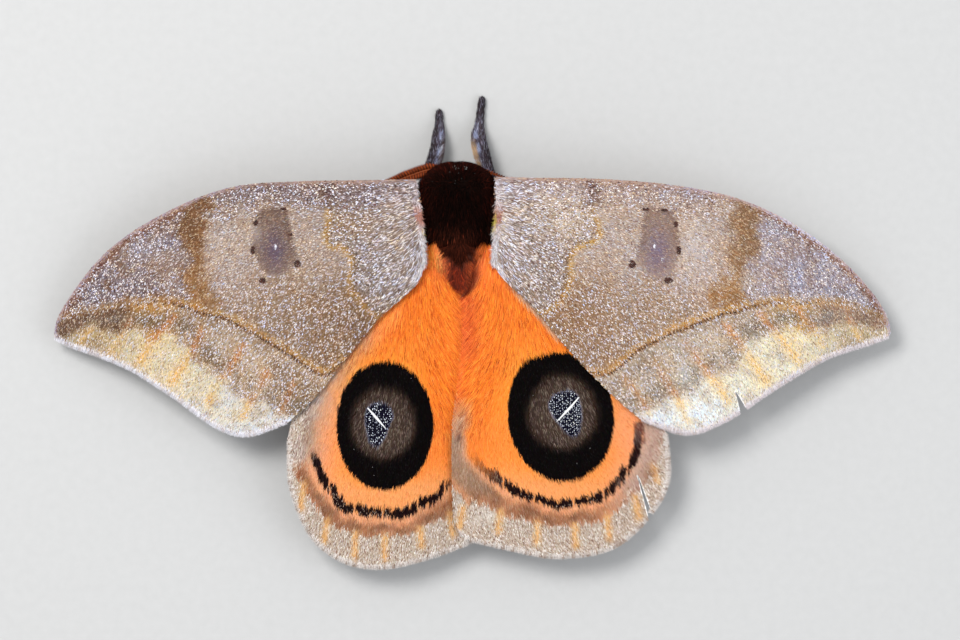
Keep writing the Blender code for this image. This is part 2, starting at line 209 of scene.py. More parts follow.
def node_material(name):
    made = bpy.data.materials.new(name)
    made.use_nodes = True
    return made, made.node_tree.nodes, made.node_tree.links, made.node_tree.nodes["Principled BSDF"]


floor_data = bpy.data.meshes.new("floor")
half = 1.5
floor_data.from_pydata([(-half, -half, 0), (half, -half, 0), (half, half, 0), (-half, half, 0)], [], [(0, 1, 2, 3)])
floor = bpy.data.objects.new("floor", floor_data)
floor.location.z = -0.00002
bpy.context.scene.collection.objects.link(floor)
floor_mat, fn, fl, fb = node_material("floor_pale")
texture = fn.new("ShaderNodeTexNoise")
texture.inputs["Scale"].default_value = 900
texture.inputs["Detail"].default_value = 4
ramp = fn.new("ShaderNodeMapRange")
ramp.inputs["To Min"].default_value = 0.43
ramp.inputs["To Max"].default_value = 0.47
place = fn.new("ShaderNodeTexCoord")
fl.new(place.outputs["Object"], texture.inputs["Vector"])
fl.new(texture.outputs["Fac"], ramp.inputs["Value"])
tint = fn.new("ShaderNodeCombineColor")
for channel in ("Red", "Green", "Blue"):
    fl.new(ramp.outputs["Result"], tint.inputs[channel])
fl.new(tint.outputs["Color"], fb.inputs["Base Color"])
fb.inputs["Roughness"].default_value = 0.9
fb.inputs["Specular IOR Level"].default_value = 0.2
floor_data.materials.append(floor_mat)
floor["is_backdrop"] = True

# ---------------------------------------------------------------- the forms, as in the CAD

AXIS_X = -1.77
THORAX_MIDDLE_Y = 14.65
THORAX_LENGTH = 11.9
COLLAR_FULLNESS = 3.6
COLLAR_REACH = 0.37
COLLAR_RISE = 1.5
THORAX_WIDTH = 9.0
THORAX_HEIGHT = 10.4
THORAX_AXIS_Z = 6.3
HEAD_MIDDLE = np.array([AXIS_X, 19.2, 5.0])
HEAD_RADII = np.array([2.5, 1.75, 2.3])
EYE_RADIUS = 1.05
EYE_SPREAD = 2.05
ABDOMEN_LENGTH = 22.5
ABDOMEN_WIDTH = 7.4
ABDOMEN_HEIGHT = 5.8
TUFT_LENGTH = 5.6
WING_ROOT_Z = 8.7
DOME_LINE_Y = 12.6
DROOP_LEFT = 0.0026
DROOP_RIGHT = 0.0019
DROOP_REAR = 0.0022
VALLEY_DEPTH = 0.7
VALLEY_X = -1.1
VALLEY_WIDTH = 3.2
LAYER = 0.45
OVERLAP = 0.45
FORE_CAMBER = 0.75
HIND_CAMBER = 0.55

FOREWING_LEFT = {
    "lead": [(-6.9, 18.7), (-14.4, 18.6), (-21.1, 18.5), (-29.6, 17.8), (-38.1, 14.5), (-44.9, 10.0), (-49.5, 4.5), (-51.25, 1.4), (-51.6, -0.75)],
    "outer": [(-51.6, -0.75), (-49.6, -1.75), (-46.6, -2.75), (-42.3, -4.5), (-37.0, -7.8), (-30.8, -12.0), (-27.7, -12.7), (-22.7, -11.1)],
    "inner": [(-5.8, 8.7), (-6.6, 6.2), (-11.1, 2.0), (-15.8, -3.6), (-19.1, -7.8), (-22.7, -11.1)],
    "root": [(-6.9, 18.7), (-6.4, 15.6), (-6.0, 12.1), (-5.8, 8.7)],
}
FOREWING_RIGHT = {
    "lead": [(2.9, 19.0), (7.8, 18.9), (14.8, 18.8), (24.2, 18.1), (32.3, 16.5), (39.3, 13.4), (46.3, 8.1), (50.6, 2.9), (51.45, 0.5), (51.35, -0.6)],
    "outer": [(51.35, -0.6), (48.7, -1.55), (43.9, -3.1), (37.0, -7.1), (31.1, -10.9), (26.4, -12.5), (20.7, -10.7)],
    "inner": [(2.5, 8.7), (3.5, 7.0), (7.3, 3.2), (12.5, -2.9), (16.6, -7.1), (20.7, -10.7)],
    "root": [(2.9, 19.0), (2.9, 15.6), (2.7, 12.1), (2.5, 8.7)],
}
HINDWING_LEFT = {
    "lead": [(-5.5, 10.7), (-9.8, 8.0), (-15.6, 1.8), (-20.5, -4.8), (-22.7, -13.3)],
    "outer": [(-22.7, -13.3), (-22.4, -19.1), (-19.5, -25.6), (-15.4, -28.4), (-11.1, -29.0), (-5.3, -27.8), (0.2, -25.8)],
    "inner": [(-1.5, 8.1), (-0.3, 0.4), (0.0, -8.2), (0.1, -18.0), (0.2, -25.8)],
    "root": [(-5.5, 10.7), (-4.7, 9.1), (-3.1, 8.3), (-1.5, 8.1)],
}
HINDWING_RIGHT = {
    "lead": [(2.2, 10.7), (6.1, 7.7), (12.0, 1.6), (18.1, -5.5), (24.0, -12.4)],
    "outer": [(24.0, -12.4), (24.2, -18.3), (21.8, -22.7), (17.4, -26.5), (10.3, -27.7), (4.6, -26.7), (-1.0, -25.4)],
    "inner": [(-1.6, 8.1), (-0.9, 1.3), (-1.4, -5.5), (-2.4, -11.9), (-2.5, -18.0), (-2.1, -23.6), (-1.0, -25.4)],
    "root": [(2.2, 10.7), (1.2, 9.1), (-0.2, 8.3), (-1.6, 8.1)],
}
FOREWING_TEAR = ((32.3, -7.2), (33.6, -10.2), 1.0)
HINDWING_TEAR = ((20.3, -17.5), (22.2, -23.4), 0.6)
LEGS = {
    "foreleg_left": [(-5.9, 16.3, 2.3, 0.72), (-5.85, 18.2, 2.3, 0.85), (-4.9, 20.6, 2.4, 0.98), (-4.35, 22.5, 2.3, 0.95), (-4.15, 24.4, 1.5, 0.82), (-4.1, 25.6, 0.68, 0.6), (-4.1, 26.6, 0.42, 0.52), (-4.1, 27.4, 0.36, 0.46)],
    "foreleg_right": [(2.35, 16.3, 2.3, 0.72), (2.3, 18.2, 2.3, 0.85), (1.6, 20.6, 2.45, 1.0), (1.05, 22.5, 2.35, 1.05), (0.75, 24.2, 1.65, 0.95), (0.85, 25.6, 0.75, 0.66), (1.0, 27.2, 0.42, 0.52), (1.2, 29.0, 0.36, 0.46)],
    "midleg_left": [(-5.9, 13.7, 2.4, 0.72), (-7.6, 13.0, 3.7, 0.8), (-9.9, 11.8, 4.3, 0.75), (-12.3, 10.4, 2.4, 0.62), (-13.9, 9.3, 0.6, 0.48), (-15.3, 8.2, 0.32, 0.42), (-17.2, 6.9, 0.3, 0.38)],
    "midleg_right": [(2.35, 13.7, 2.4, 0.72), (4.1, 13.0, 3.7, 0.8), (6.4, 11.8, 4.3, 0.75), (8.8, 10.4, 2.4, 0.62), (10.4, 9.3, 0.6, 0.48), (11.8, 8.2, 0.32, 0.42), (13.7, 6.9, 0.3, 0.38)],
    "hindleg_left": [(-5.7, 11.0, 2.4, 0.72), (-7.3, 8.6, 3.7, 0.8), (-8.8, 5.9, 4.0, 0.75), (-9.7, 2.9, 2.4, 0.62), (-10.3, 0.4, 0.6, 0.48), (-10.7, -1.8, 0.32, 0.42), (-11.3, -5.0, 0.3, 0.38)],
    "hindleg_right": [(2.15, 11.0, 2.4, 0.72), (3.8, 8.6, 3.7, 0.8), (5.3, 5.9, 4.0, 0.75), (6.2, 2.9, 2.4, 0.62), (6.8, 0.4, 0.6, 0.48), (7.2, -1.8, 0.32, 0.42), (7.8, -5.0, 0.3, 0.38)],
}
ANTENNA_LEFT = [(-3.15, 20.1, 7.75), (-5.4, 19.95, 7.75), (-7.6, 19.25, 7.7), (-9.7, 18.45, 7.6), (-11.9, 17.75, 7.5), (-14.1, 17.2, 7.4)]
ANTENNA_RIGHT = [(-0.4, 20.35, 7.7), (1.9, 19.75, 7.7), (4.2, 18.9, 7.6), (7.3, 18.0, 7.5), (10.5, 17.1, 7.4)]


def dome(x, y):
    side = x - AXIS_X
    rear = np.maximum(DOME_LINE_Y - y, 0)
    droop = np.where(side < 0, DROOP_LEFT, DROOP_RIGHT)
    return WING_ROOT_Z - droop * side**2 - DROOP_REAR * rear**2


def valley(x):
    return VALLEY_DEPTH * np.exp(-(((x - VALLEY_X) / VALLEY_WIDTH) ** 2))


def forewing_height(x, y, u, v):
    return dome(x, y) + LAYER + FORE_CAMBER * 4 * v * (1 - v) * (1 - u**3)


def hindwing_left_height(x, y, u, v):
    middle = step(-8.8, -2.5, x)
    return dome(x, y) - LAYER - OVERLAP * middle - valley(x) + HIND_CAMBER * np.sin(np.pi * v) * u * (1 - middle)


def hindwing_right_height(x, y, u, v):
    middle = 1 - step(-0.3, 5.9, x)
    return dome(x, y) - LAYER + OVERLAP * middle - valley(x) + HIND_CAMBER * np.sin(np.pi * v) * u * (1 - middle)


# ---------------------------------------------------------------- markings

FORE_MARKS = {
    "left": {
        "costa": [(416, 180.5), (355, 181.5), (300, 181.6), (230.5, 187.3), (161.6, 215), (106, 251.4), (68, 297), (53.9, 321.6), (51, 339)],
        "outer": [(51, 339), (67, 347.3), (91.5, 355.5), (127, 370), (170, 397), (221, 431), (246, 437), (287, 424)],
        "base": [(416, 180), (421, 206), (424, 234), (425, 257), (418, 281)],
        "first": [(330, 180), (328, 205), (329.5, 216.6), (328, 227.4), (325.7, 239.6), (330, 245.7), (343.3, 248.8), (351, 255), (352.5, 267), (351, 279.4), (352.5, 291.6), (360, 297.8), (367.8, 308.5), (377, 316), (388, 318)],
        "second": [(48, 322), (80, 313), (114, 306), (132.5, 303.3), (151, 301.5), (169.4, 302.4), (188, 307), (199, 311.6), (215, 315.5), (230, 319.5), (245, 327.5), (260, 336), (276, 345.5), (291, 355), (306, 365), (319, 373), (329.5, 374.5), (344, 362)],
        "pale": [(60, 335), (82.5, 326.4), (95.5, 324.6), (114, 330), (125, 333), (136, 331), (154.7, 335.7), (169.4, 332), (180.5, 339.4), (191.6, 352.3), (202.7, 367), (215.7, 376.4), (226.8, 381), (232.3, 394.8), (247, 398.5), (258.2, 400.4), (269.3, 407.8), (288, 414)],
        "shade": [(199, 192), (192.5, 215.5), (193.5, 234), (198, 256), (195, 276), (200, 290), (202, 303)],
        "stripes": [
            [(176.8, 313.5), (165, 326), (151, 341), (138, 361.6), (131, 370)],
            [(202.7, 326.4), (191.6, 352.3), (176.8, 372.7), (166, 389)],
            [(245.3, 341), (232, 365), (219.4, 382), (203, 411)],
            [(269.3, 369), (258, 389.3), (249, 404), (239, 424)],
            [(132.5, 316), (115.8, 341), (106, 357)],
            [(90, 326), (78.8, 341), (75, 347)],
            [(296, 378), (288, 396), (280, 414)],
        ],
        "spot": ((274.5, 243), 17.0, 34.5, -5.0),
        "rim": [(262, 211), (272, 208.5), (284, 209), (288.5, 216), (290, 227), (292.5, 240), (296, 253), (296.5, 263), (290, 271), (280, 275.5), (270, 274), (262, 267), (256.5, 256), (253.2, 245), (253.2, 233), (255, 221)],
        "flecks": [(340, 207), (344, 208.2), (349, 207.6), (354, 208.8), (358, 208.0), (365, 208.0), (370, 206.4), (373.5, 205.0), (376, 206)],
        "dots": [((256.2, 223.6), 1.7, 2.6), ((253.2, 250.6), 1.8, 3.6), ((298.0, 264.2), 2.9, 3.0), ((263.3, 280.5), 3.4, 2.6), ((291, 235), 1.5, 1.3), ((284, 209.5), 2.6, 1.2)],
        "glints": [((276, 246.3), 1.7, 3.4, 1.0)],
        "apex": (52, 334),
        "tornus": (287, 424),
    },
    "right": {
        "costa": [(496, 178), (536, 179), (593, 179.7), (670, 185.4), (736, 198), (793, 223.7), (850.5, 266.7), (885, 309), (892.2, 329), (891.4, 338)],
        "outer": [(891.4, 338), (870, 345.6), (831, 358.3), (774, 391), (726, 421.7), (688, 435), (641, 420)],
        "base": [(495, 180), (495, 206), (494, 234), (494, 257), (501, 273)],
        "first": [(592, 179), (593.5, 200), (594.3, 211.8), (597.5, 228), (598.5, 238), (590, 243.4), (578, 247.0), (571.5, 254.6), (569.3, 267), (568.4, 283), (562, 297.5), (551.4, 308), (540, 313), (530, 312)],
        "second": [(896, 322), (866, 311), (838.6, 302.9), (820.7, 301), (802.9, 302.9), (785, 302), (767, 302.9), (752.9, 306.0), (735, 311.0), (718.9, 314.5), (702.9, 320.7), (690.7, 325.6), (676.4, 330.5), (658.6, 338.6), (640.7, 347.5), (628, 358), (615.7, 369), (605, 374.3), (590, 373.4)],
        "pale": [(886, 327), (874, 324), (856, 320.7), (835, 324.3), (820.7, 331.4), (806.4, 329.6), (792, 327.9), (774.3, 335), (760, 338.6), (751, 349.3), (740.4, 361.8), (729.6, 370.7), (718.9, 374.3), (704.6, 379.6), (695.7, 392), (683, 399.3), (674.3, 397.5), (660, 405), (640, 413)],
        "shade": [(746, 197), (745.7, 213.6), (747, 231), (745, 247), (737.5, 262), (738, 275), (731, 288), (727, 300)],
        "stripes": [
            [(756.4, 310), (770.7, 326), (781.4, 338.6), (795.7, 356.4), (806, 370)],
            [(722.5, 320.7), (731.4, 333), (745.7, 349.3), (756.4, 367), (767, 379.6), (774, 390)],
            [(683, 340.4), (695.7, 356.4), (708, 374.3), (718.9, 386.8), (733, 410)],
            [(651.4, 356.4), (665.7, 379.6), (677.9, 399.3), (692, 428)],
            [(792, 306.4), (802.9, 313.6), (817, 331.4), (826, 352)],
            [(845.7, 308), (856.4, 331.4), (862, 343)],
            [(622, 374), (636, 392), (652, 416)],
        ],
        "spot": ((658.0, 246), 18.5, 37.0, 3.0),
        "rim": [(645, 210.5), (656, 209), (668, 210.5), (674, 217), (677, 229), (679, 242), (677.5, 257), (674, 271), (669, 281.5), (659, 280.5), (649, 275.5), (640.5, 268.5), (636, 260.5), (637.5, 250), (641, 239), (642, 227), (643, 218)],
        "flecks": [(563, 205), (570, 206.5), (578, 207)],
        "dots": [((631.8, 264.4), 3.3, 3.6), ((667.8, 280.7), 3.8, 2.8), ((678.4, 250.6), 2.0, 4.0), ((675.6, 224.8), 1.7, 2.8), ((645.5, 209.6), 3.0, 1.2), ((664, 210.5), 3.0, 1.0)],
        "glints": [((654, 247), 1.6, 1.9, 1.0), ((661.8, 260.4), 2.2, 3.2, 0.5)],
        "apex": (892.5, 333.7),
        "tornus": (641, 420),
    },
}
for marks in FORE_MARKS.values():
    marks["costa_line"] = Line(marks["costa"])
    marks["outer_line"] = Line(marks["outer"])
    marks["base_line"] = Line(marks["base"], count=24)
    marks["first_line"] = Line(marks["first"], towards=marks["apex"])
    marks["second_line"] = Line(marks["second"], towards=((marks["apex"][0] + marks["tornus"][0]) / 2, 385))
    marks["pale_line"] = Line(marks["pale"], towards=((marks["apex"][0] + marks["tornus"][0]) / 2, 385))
    marks["shade_line"] = Line(marks["shade"], towards=marks["apex"], count=40)
    marks["stripe_lines"] = [Line(s, count=16) for s in marks["stripes"]]
    marks["rim_line"] = Line(marks["rim"] + [marks["rim"][0]], towards=marks["spot"][0])


def forewing_top(px, py, side):
    """Mean display colour, and how far single scales stray from it, at points of the forewing's upper side."""
    m = FORE_MARKS[side]
    tip = -1 if side == "left" else 1  # the way to the wing's tip
    n_big = noise(px, py, 26, 3) - 0.5
    n_mid = noise(px, py, 9, 5) - 0.5
    n_small = noise(px, py, 3.1, 7) - 0.5
    costa, costa_t = m["costa_line"].side(px, py)
    costa = np.abs(costa)
    outer, outer_t = m["outer_line"].side(px, py)
    outer = np.abs(outer)
    base = np.abs(m["base_line"].side(px, py)[0])
    first, first_t = m["first_line"].field(px, py)
    second, second_t = m["second_line"].field(px, py)
    pale, pale_t = m["pale_line"].field(px, py)
    shade, shade_t = m["shade_line"].field(px, py)
    out = tip * (px - 458)  # distance from the body

    colour = np.tile(np.array([190.0, 167, 153]), (len(px), 1))
    stray = np.full(len(px), 28.0)
    # bright: the right forewing is painted lighter than the left in many fields, painted light standing in for the
    # stronger light on that side
    bright = 1.0 if side == "right" else 0.0
    # the middle field: tan towards the rear, pinker towards the front
    rear = step(250, 320, py + n_big * 30)
    colour = mix(colour, (161 + 8 * bright, 130 + 8 * bright, 105 + 10 * bright), rear * step(250, 90, out))
    colour = mix(colour, (176, 150, 130), rear * step(90, 240, out) * 0.7)
    colour = mix(colour, (198, 170, 156), bell(py - 285 + n_big * 30, 28) * bell(out - 245, 40) * 0.45)
    stray += 5 * rear
    # olive tint along the rear half near the body
    colour = mix(colour, (154, 129, 108), 0.5 * bell(py - 330, 26) * step(120, 60, out) * step(0, 20, first))
    # root field
    inner = step(2, -3, first)
    colour = mix(colour, (178, 159, 152), inner)
    colour = mix(colour, (166, 147, 138), inner * bell(first + 16, 13) * step(240, 268, py) * 0.55)
    colour = mix(colour, (180, 152, 132), inner * bell(py - 222, 14) * step(70, 100, out) * 0.6)
    stray = stray + (43 - stray) * inner
    # frosted strip along the front edge
    strip = step(36, 7, costa + n_mid * 16 + n_small * 6) * step(276, 228, out + n_mid * 24)
    colour = mix(colour, (156 + 22 * bright, 137 + 22 * bright, 138 + 20 * bright), strip * 0.92)
    stray = stray + (46 - stray) * strip
    colour = mix(colour, (158, 124, 110), step(7, 2.6, costa) * step(40, 90, out) * 0.6)
    colour = mix(colour, (214, 198, 188), bright * bell(out - 106, 34) * bell(py - 214, 26) * (0.35 + 0.6 * noise(px, py, 12, 36)))
    colour = mix(colour, (212, 192, 184), bell(py - 200, 12) * bell(out - 66, 12) * (1 - bright) * 0.5)
    colour = mix(colour, (213, 198, 191), bell(py - 250, 34) * bell(out - 234, 20) * (0.30 + 0.35 * bright))
    # shadowed start of the first line at the front edge
    at_first = bell(first, 7 + 3 * n_mid) * step(214, 196, py)
    colour = mix(colour, (126, 100, 92), at_first * 0.62)
    # beyond the dark shade and in front of the second line: frosted over brown
    frost = step(-9, 19, shade + n_mid * 18 + n_small * 8) * step(4, -8, second + n_small * 6 + n_mid * 5)
    colour = mix(colour, (159 + 24 * bright, 134 + 34 * bright, 126 + 46 * bright), frost)
    lilac = noise(px, py, 15, 11) * 0.55 + noise(px, py, 6, 12) * 0.45
    near_line = bell(second + 10, 9) + 0.5 * bell(costa - 24, 12)
    cluster = step(0.40, 0.72, lilac + 0.16 * near_line)
    colour = mix(colour, (163 + 14 * bright, 150 + 18 * bright, 160 + 18 * bright), frost * cluster * 0.7)
    colour = mix(colour, (138, 104, 84), frost * step(0.50, 0.28, lilac) * 0.5 * (1 - 0.4 * bright))
    colour = mix(colour, (192, 170, 162), frost * bell(shade - 24, 15) * step(240, 275, py) * 0.55)
    colour = mix(colour, (190, 174, 172), frost * bell(py - 252, 18) * bell(out - 312, 38) * (1 - bright) * 0.55)
    stray = stray + (30 + 10 * cluster - stray) * frost
    colour = mix(colour, (148, 106, 84), frost * step(11, 3, costa + n_small * 4) * 0.8)
    # dark shade from the front edge down to the second line
    wide = np.interp(shade_t, [0, 0.25, 0.5, 0.62, 0.8, 1], [13, 13.5, 11, 8, 10, 16])
    dark = step(wide + 8, wide - 8, np.abs(shade + n_mid * 15 + n_small * 9)) * step(4, -2, second)
    tone = np.interp(shade_t, [0, 0.45, 0.75, 1], [0, 0.12, 0.75, 1])[:, None]
    brown = np.array([136 + 10 * bright, 94 + 18 * bright, 58 + 24 * bright]) * (1 - tone) + np.array([174, 126, 78.0]) * tone
    brown = brown * (1 + 0.16 * (noise(px, py, 5.5, 14) - 0.5))[:, None]
    colour = colour + (brown - colour) * (dark * 0.92)[:, None]
    stray = stray + (20 - stray) * dark
    # the outer field
    beyond = step(-1, 3, second)
    colour = mix(colour, (208, 184, 163), beyond)
    colour = mix(colour, (166, 138, 116), beyond * step(0.66, 0.50, second_t) * 0.30)
    colour = mix(colour, (170, 144, 124), beyond * step(196, 172, out + n_big * 30) * step(64, 44, np.abs(py - 378)) * 0.80 * step(-3, 14, second))
    near_tip = step(0.47, 0.30, second_t)
    colour = mix(colour, (206, 163, 110), beyond * near_tip)
    colour = mix(colour, (118 + 54 * bright, 84 + 48 * bright, 58 + 44 * bright), beyond * step(0.31, 0.20, second_t) * step(8, -3, pale + n_mid * 8))
    colour = mix(colour, (152, 116, 94), beyond * step(0.31, 0.20, second_t) * step(8, -3, pale) * step(0.5, 0.75, noise(px, py, 8, 15)) * 0.4)
    colour = mix(colour, (172, 145, 122), beyond * bell(second - 5, 7) * step(0.40, 0.52, second_t) * step(0.80, 0.68, second_t) * 0.6)
    blotch = bell(pale + 12, 9) * step(-2, 4, second - 6)
    colour = mix(colour, (150, 130, 113), beyond * blotch * 0.80 * step(-0.25, 0.15, n_mid + 0.2))
    stray = stray + (32 - stray) * beyond
    stray = stray + (22 - stray) * beyond * step(0.31, 0.20, second_t)
    # pale patches along the outer edge
    edge = step(-4.5, 5.5, pale + n_mid * 11 + n_small * 6)
    creamy = mix(np.tile(np.array([238.0, 223, 195]), (len(px), 1)), (239, 233, 224), step(0.55, 0.85, pale_t))
    creamy = mix(creamy, (184, 160, 132), step(0.32, 0.14, pale_t))
    colour = colour + (creamy - colour) * (edge * 0.94)[:, None]
    stray = stray + (29 - stray) * edge
    colour = mix(colour, (196, 172, 146), edge * step(0.1, 0.45, noise(px, py, 6, 19) - 0.42) * 0.6)
    # vein stripes
    stripe = np.zeros(len(px))
    for n, line in enumerate(m["stripe_lines"]):
        far, t = line.side(px, py)
        width = (3.0 + 1.6 * t) * (1.1 if n < 4 else 0.9)
        ragged = far + n_small * 1.2 + n_mid * 1.0
        core = 0.75 * np.exp(-((ragged / (width * 0.75)) ** 2)) + 0.25 * np.exp(-((ragged / (width * 2.2)) ** 2))
        stripe = np.maximum(stripe, np.minimum(core, 1) * step(-0.02, 0.06, t) * step(1.0, 0.84, t) * (1.0 if n < 4 else 0.75))
    colour = mix(colour, (220, 156, 106), stripe * beyond * (1 - edge) * 0.74)
    colour = mix(colour, (246, 196, 126), stripe * edge * 0.85)
    colour = mix(colour, (240, 214, 164), edge * 0.32 * (1 - stripe) * bell(pale - 9, 8) * step(0.75, 0.4, pale_t))
    if side == "right":
        colour = mix(colour, (202, 192, 184), bell(px - 686, 13) * bell(py - 379, 13) * 0.75)
        colour = mix(colour, (163, 140, 120), bell(px - 650, 22) * bell(py - 364, 26) * step(0, 6, second) * 0.55)
        colour = mix(colour, (180, 158, 140), bell(px - 680, 22) * bell(py - 347, 11) * step(0, 6, second) * 0.55)
        colour = mix(colour, (236, 223, 198), bell(px - 752, 11) * bell(py - 347, 9) * 0.7)
        colour = mix(colour, (238, 236, 236), bell(px - 699, 16) * bell(py - 411.5, 6.5) * 0.9)
        colour = mix(colour, (224, 220, 218), bell(px - 672, 20) * bell(py - 421, 9) * 0.5)
    else:
        colour = mix(colour, (240, 226, 198), bell(px - 212, 13) * bell(py - 385, 10) * 0.8)
        colour = mix(colour, (208, 190, 176), bell(px - 260, 13) * bell(py - 391, 12) * 0.7)
    colour = colour + (bright * beyond)[:, None] * np.array([3.0, 9, 15])
    # second line: ochre on the inner side; its dark dots are laid on as scales of their own
    strong = step(0.24, 0.44, second_t)
    ochre = step(-8.4, -3.4, second + n_small * 6) * step(2.6, 0.0, second + n_small * 4)
    colour = mix(colour, (218, 172, 108), ochre * (0.30 + 0.36 * strong) * (0.40 + 1.1 * noise(px, py, 2.2, 31)))
    colour = mix(colour, (138, 92, 50), bell(second - 0.4 + n_small * 2.4, 1.6) * strong * 0.66)
    stray = stray + (31 - stray) * ochre
    # first line
    gold = bell(first - 0.4 + n_small * 4.2, 2.9) * step(204, 216, py)
    colour = mix(colour, (214, 170, 104), gold * 0.70 * (0.40 + 1.0 * noise(px, py, 2.6, 33)))
    colour = mix(colour, (146, 112, 76), bell(first + 3.0, 1.6) * step(240, 252, py) * 0.45)
    # spot in the cell
    (cx, cy), a, b, turn = m["spot"]
    c, s = math.cos(math.radians(turn)), math.sin(math.radians(turn))
    ex, ey = (px - cx) * c + (py - cy) * s, -(px - cx) * s + (py - cy) * c
    rim = m["rim_line"].field(px, py)[0]
    spot = step(-1.8, 1.8, rim + n_mid * 2.4 + n_small * 1.6)
    colour = mix(colour, (136, 110, 96), spot * step(44, -10, ey) ** 0.3)
    colour = mix(colour, (112, 82, 70), spot * bell(rim - 1.8, 2.2) * 0.5 * step(20, -10, ey))
    violet = np.exp(-((ex / (a * 0.62)) ** 2) - ((ey - b * 0.20) / (b * 0.60)) ** 2)
    colour = mix(colour, (116, 94, 110), spot * violet * 0.85)
    colour = colour + (20 * bright * spot)[:, None]
    stray = stray + (13 - stray) * spot
    # root of the wing: white hair, with a rusty patch
    white = step(7, 2, base + n_mid * 5)
    colour = mix(colour, (228, 220, 224), white * (0.30 + 0.55 * step(222, 246, py)))
    colour = mix(colour, (218, 208, 206), bright * bell(px - 502, 13) * bell(py - 228, 16) * 0.5)
    # local tints: the brown tips, and pale places of the fields
    for cx, cy, wide, high, tint, share in ((74, 318, 10, 8, (146, 112, 90), 0.65), (868, 318, 12, 8, (136, 114, 100), 0.65), (254, 234, 10, 11, (208, 194, 188), 0.6),
                                            (746, 282, 10, 9, (198, 180, 164), 0.6), (230, 378, 10, 8, (224, 200, 180), 0.6)):
        colour = mix(colour, tint, bell(px - cx, wide) * bell(py - cy, high) * share)
    rusty = np.exp(-((base - 4) / 5) ** 2 - ((py - 214) / 8) ** 2)
    colour = mix(colour, (168, 116, 98), rusty * 0.7)
    # the very edges
    line_tone = mix(np.tile(np.array([192.0, 162, 148]), (len(px), 1)), (206, 184, 190), step(190, 250, out))
    line_in = step(3.2, 1.4, costa + n_small * 1.2) * 0.85
    colour = colour + (line_tone - colour) * line_in[:, None]
    stray = stray + (12 - stray) * step(4.0, 1.8, costa)
    # on the right forewing: a near-white stretch of the front edge towards the tip is a painted highlight on the raised
    # edge, and the whole wing is painted 3.5% lighter, more painted light for that side
    if side == "right":
        colour = mix(colour, (226, 220, 238), step(3.8, 1.4, costa) * bell(px - 805, 34) * 0.95)
        colour = colour * 1.035
    colour = mix(colour, (232, 221, 224), step(7.0, 2.6, outer + n_small * 3) * 0.82)
    return np.clip(colour, 0, 255), stray


HIND_MARKS = {
    "left": {
        "eye": ((384.8, 426.0), 48.0, 63.6),
        "disc": ((383.2, 425.8), 34.5, 41.5),
        "drop": [(377.3, 402.8), (384.5, 403.6), (390.5, 408.5), (392.6, 417.5), (388.5, 426), (384.5, 436.5), (377.5, 445.4), (371.0, 442.5), (368.0, 434), (365.9, 423), (367.0, 411), (371.5, 404.5)],
        "bar": [(368.6, 408.6), (377, 418.2), (385.6, 428)],
        "arc": [(312.4, 452), (316.5, 466), (321.8, 478), (329.3, 489), (337.5, 500.0), (346, 508.0), (356, 510.8), (369.3, 512.6), (382.5, 512.6), (397, 515.0), (409, 511.4), (417.5, 505.6), (430, 502.2), (440, 493.5), (446, 484.5), (453, 482)],
        "gaps": [329.8, 354.4, 382.6, 417.6, 444.6],
        "centre": (384, 430),
        "costal": [(366, 332), (351, 354), (339, 374), (330, 392), (323, 410), (317.5, 430), (313.5, 450), (310, 466), (310, 480)],
        "costal_out": (290, 440),
        "stripes": [(302, 481, 512), (325.5, 517, 544), (354.8, 530, 560), (384.5, 534, 562), (420.3, 526, 550), (451, 511, 538)],
        "outer": [(286.7, 432), (286.7, 465), (289, 489), (302, 528), (329, 556), (365.7, 569), (397.6, 569), (429, 559.6), (458, 549), (474, 544)],
        "seam_side": 1,
    },
    "right": {
        "eye": ((560.9, 416.6), 53.0, 64.4),
        "disc": ((562.2, 414.5), 37.6, 43.0),
        "drop": [(567.5, 390.3), (575.5, 393.0), (579.2, 402), (580.8, 413), (580.4, 424), (577.5, 433), (572.6, 436), (566, 431.5), (558.5, 422.5), (551.8, 413), (549.0, 403), (556.5, 394.0)],
        "bar": [(578.0, 398.0), (568.0, 409.5), (556.8, 421.2)],
        "arc": [(641.5, 426), (640.2, 437), (637.2, 451), (630.2, 465.5), (621.5, 480), (607, 492.6), (590, 500.8), (573.5, 502.5), (555, 504.6), (540, 500.6), (525.7, 496.4), (506, 485.8), (486, 471.0), (474, 459.5), (466, 449)],
        "gaps": [626.8, 603.6, 573.3, 534.2, 503],
        "centre": (561, 420),
        "costal": [(615, 372), (630, 393), (642, 410), (648, 425), (649, 445), (645, 462), (637, 476)],
        "costal_out": (668, 435),
        "stripes": [(499.5, 508, 534), (537.3, 520, 546), (575.5, 523, 549), (608.4, 514, 541), (637.5, 494, 522), (655, 464, 484), (460.8, 505, 532)],
        "outer": [(668, 434.5), (669.7, 463), (669.7, 482), (664, 500), (650, 519), (630.7, 540.6), (597.5, 555.5), (556, 558.8), (510, 551), (473, 545.5), (458, 533)],
        "seam_side": -1,
    },
}
for marks in HIND_MARKS.values():
    marks["arc_line"] = Line(marks["arc"], count=90)
    marks["costal_line"] = Line(marks["costal"], towards=marks["costal_out"], count=40)
    marks["outer_line"] = Line(marks["outer"], count=90)
    marks["drop_line"] = Line(marks["drop"] + [marks["drop"][0]], count=60)
    marks["bar_line"] = Line(marks["bar"], count=12)
    centre = np.array(marks["centre"], float)
    marks["arc_line"].sign = -float(np.sign(marks["arc_line"].side(centre[:1], centre[1:])[0][0]))
    middle = np.mean(np.array(marks["drop"]), axis=0)
    marks["drop_line"].sign = float(np.sign(marks["drop_line"].side(middle[:1], middle[1:])[0][0]))


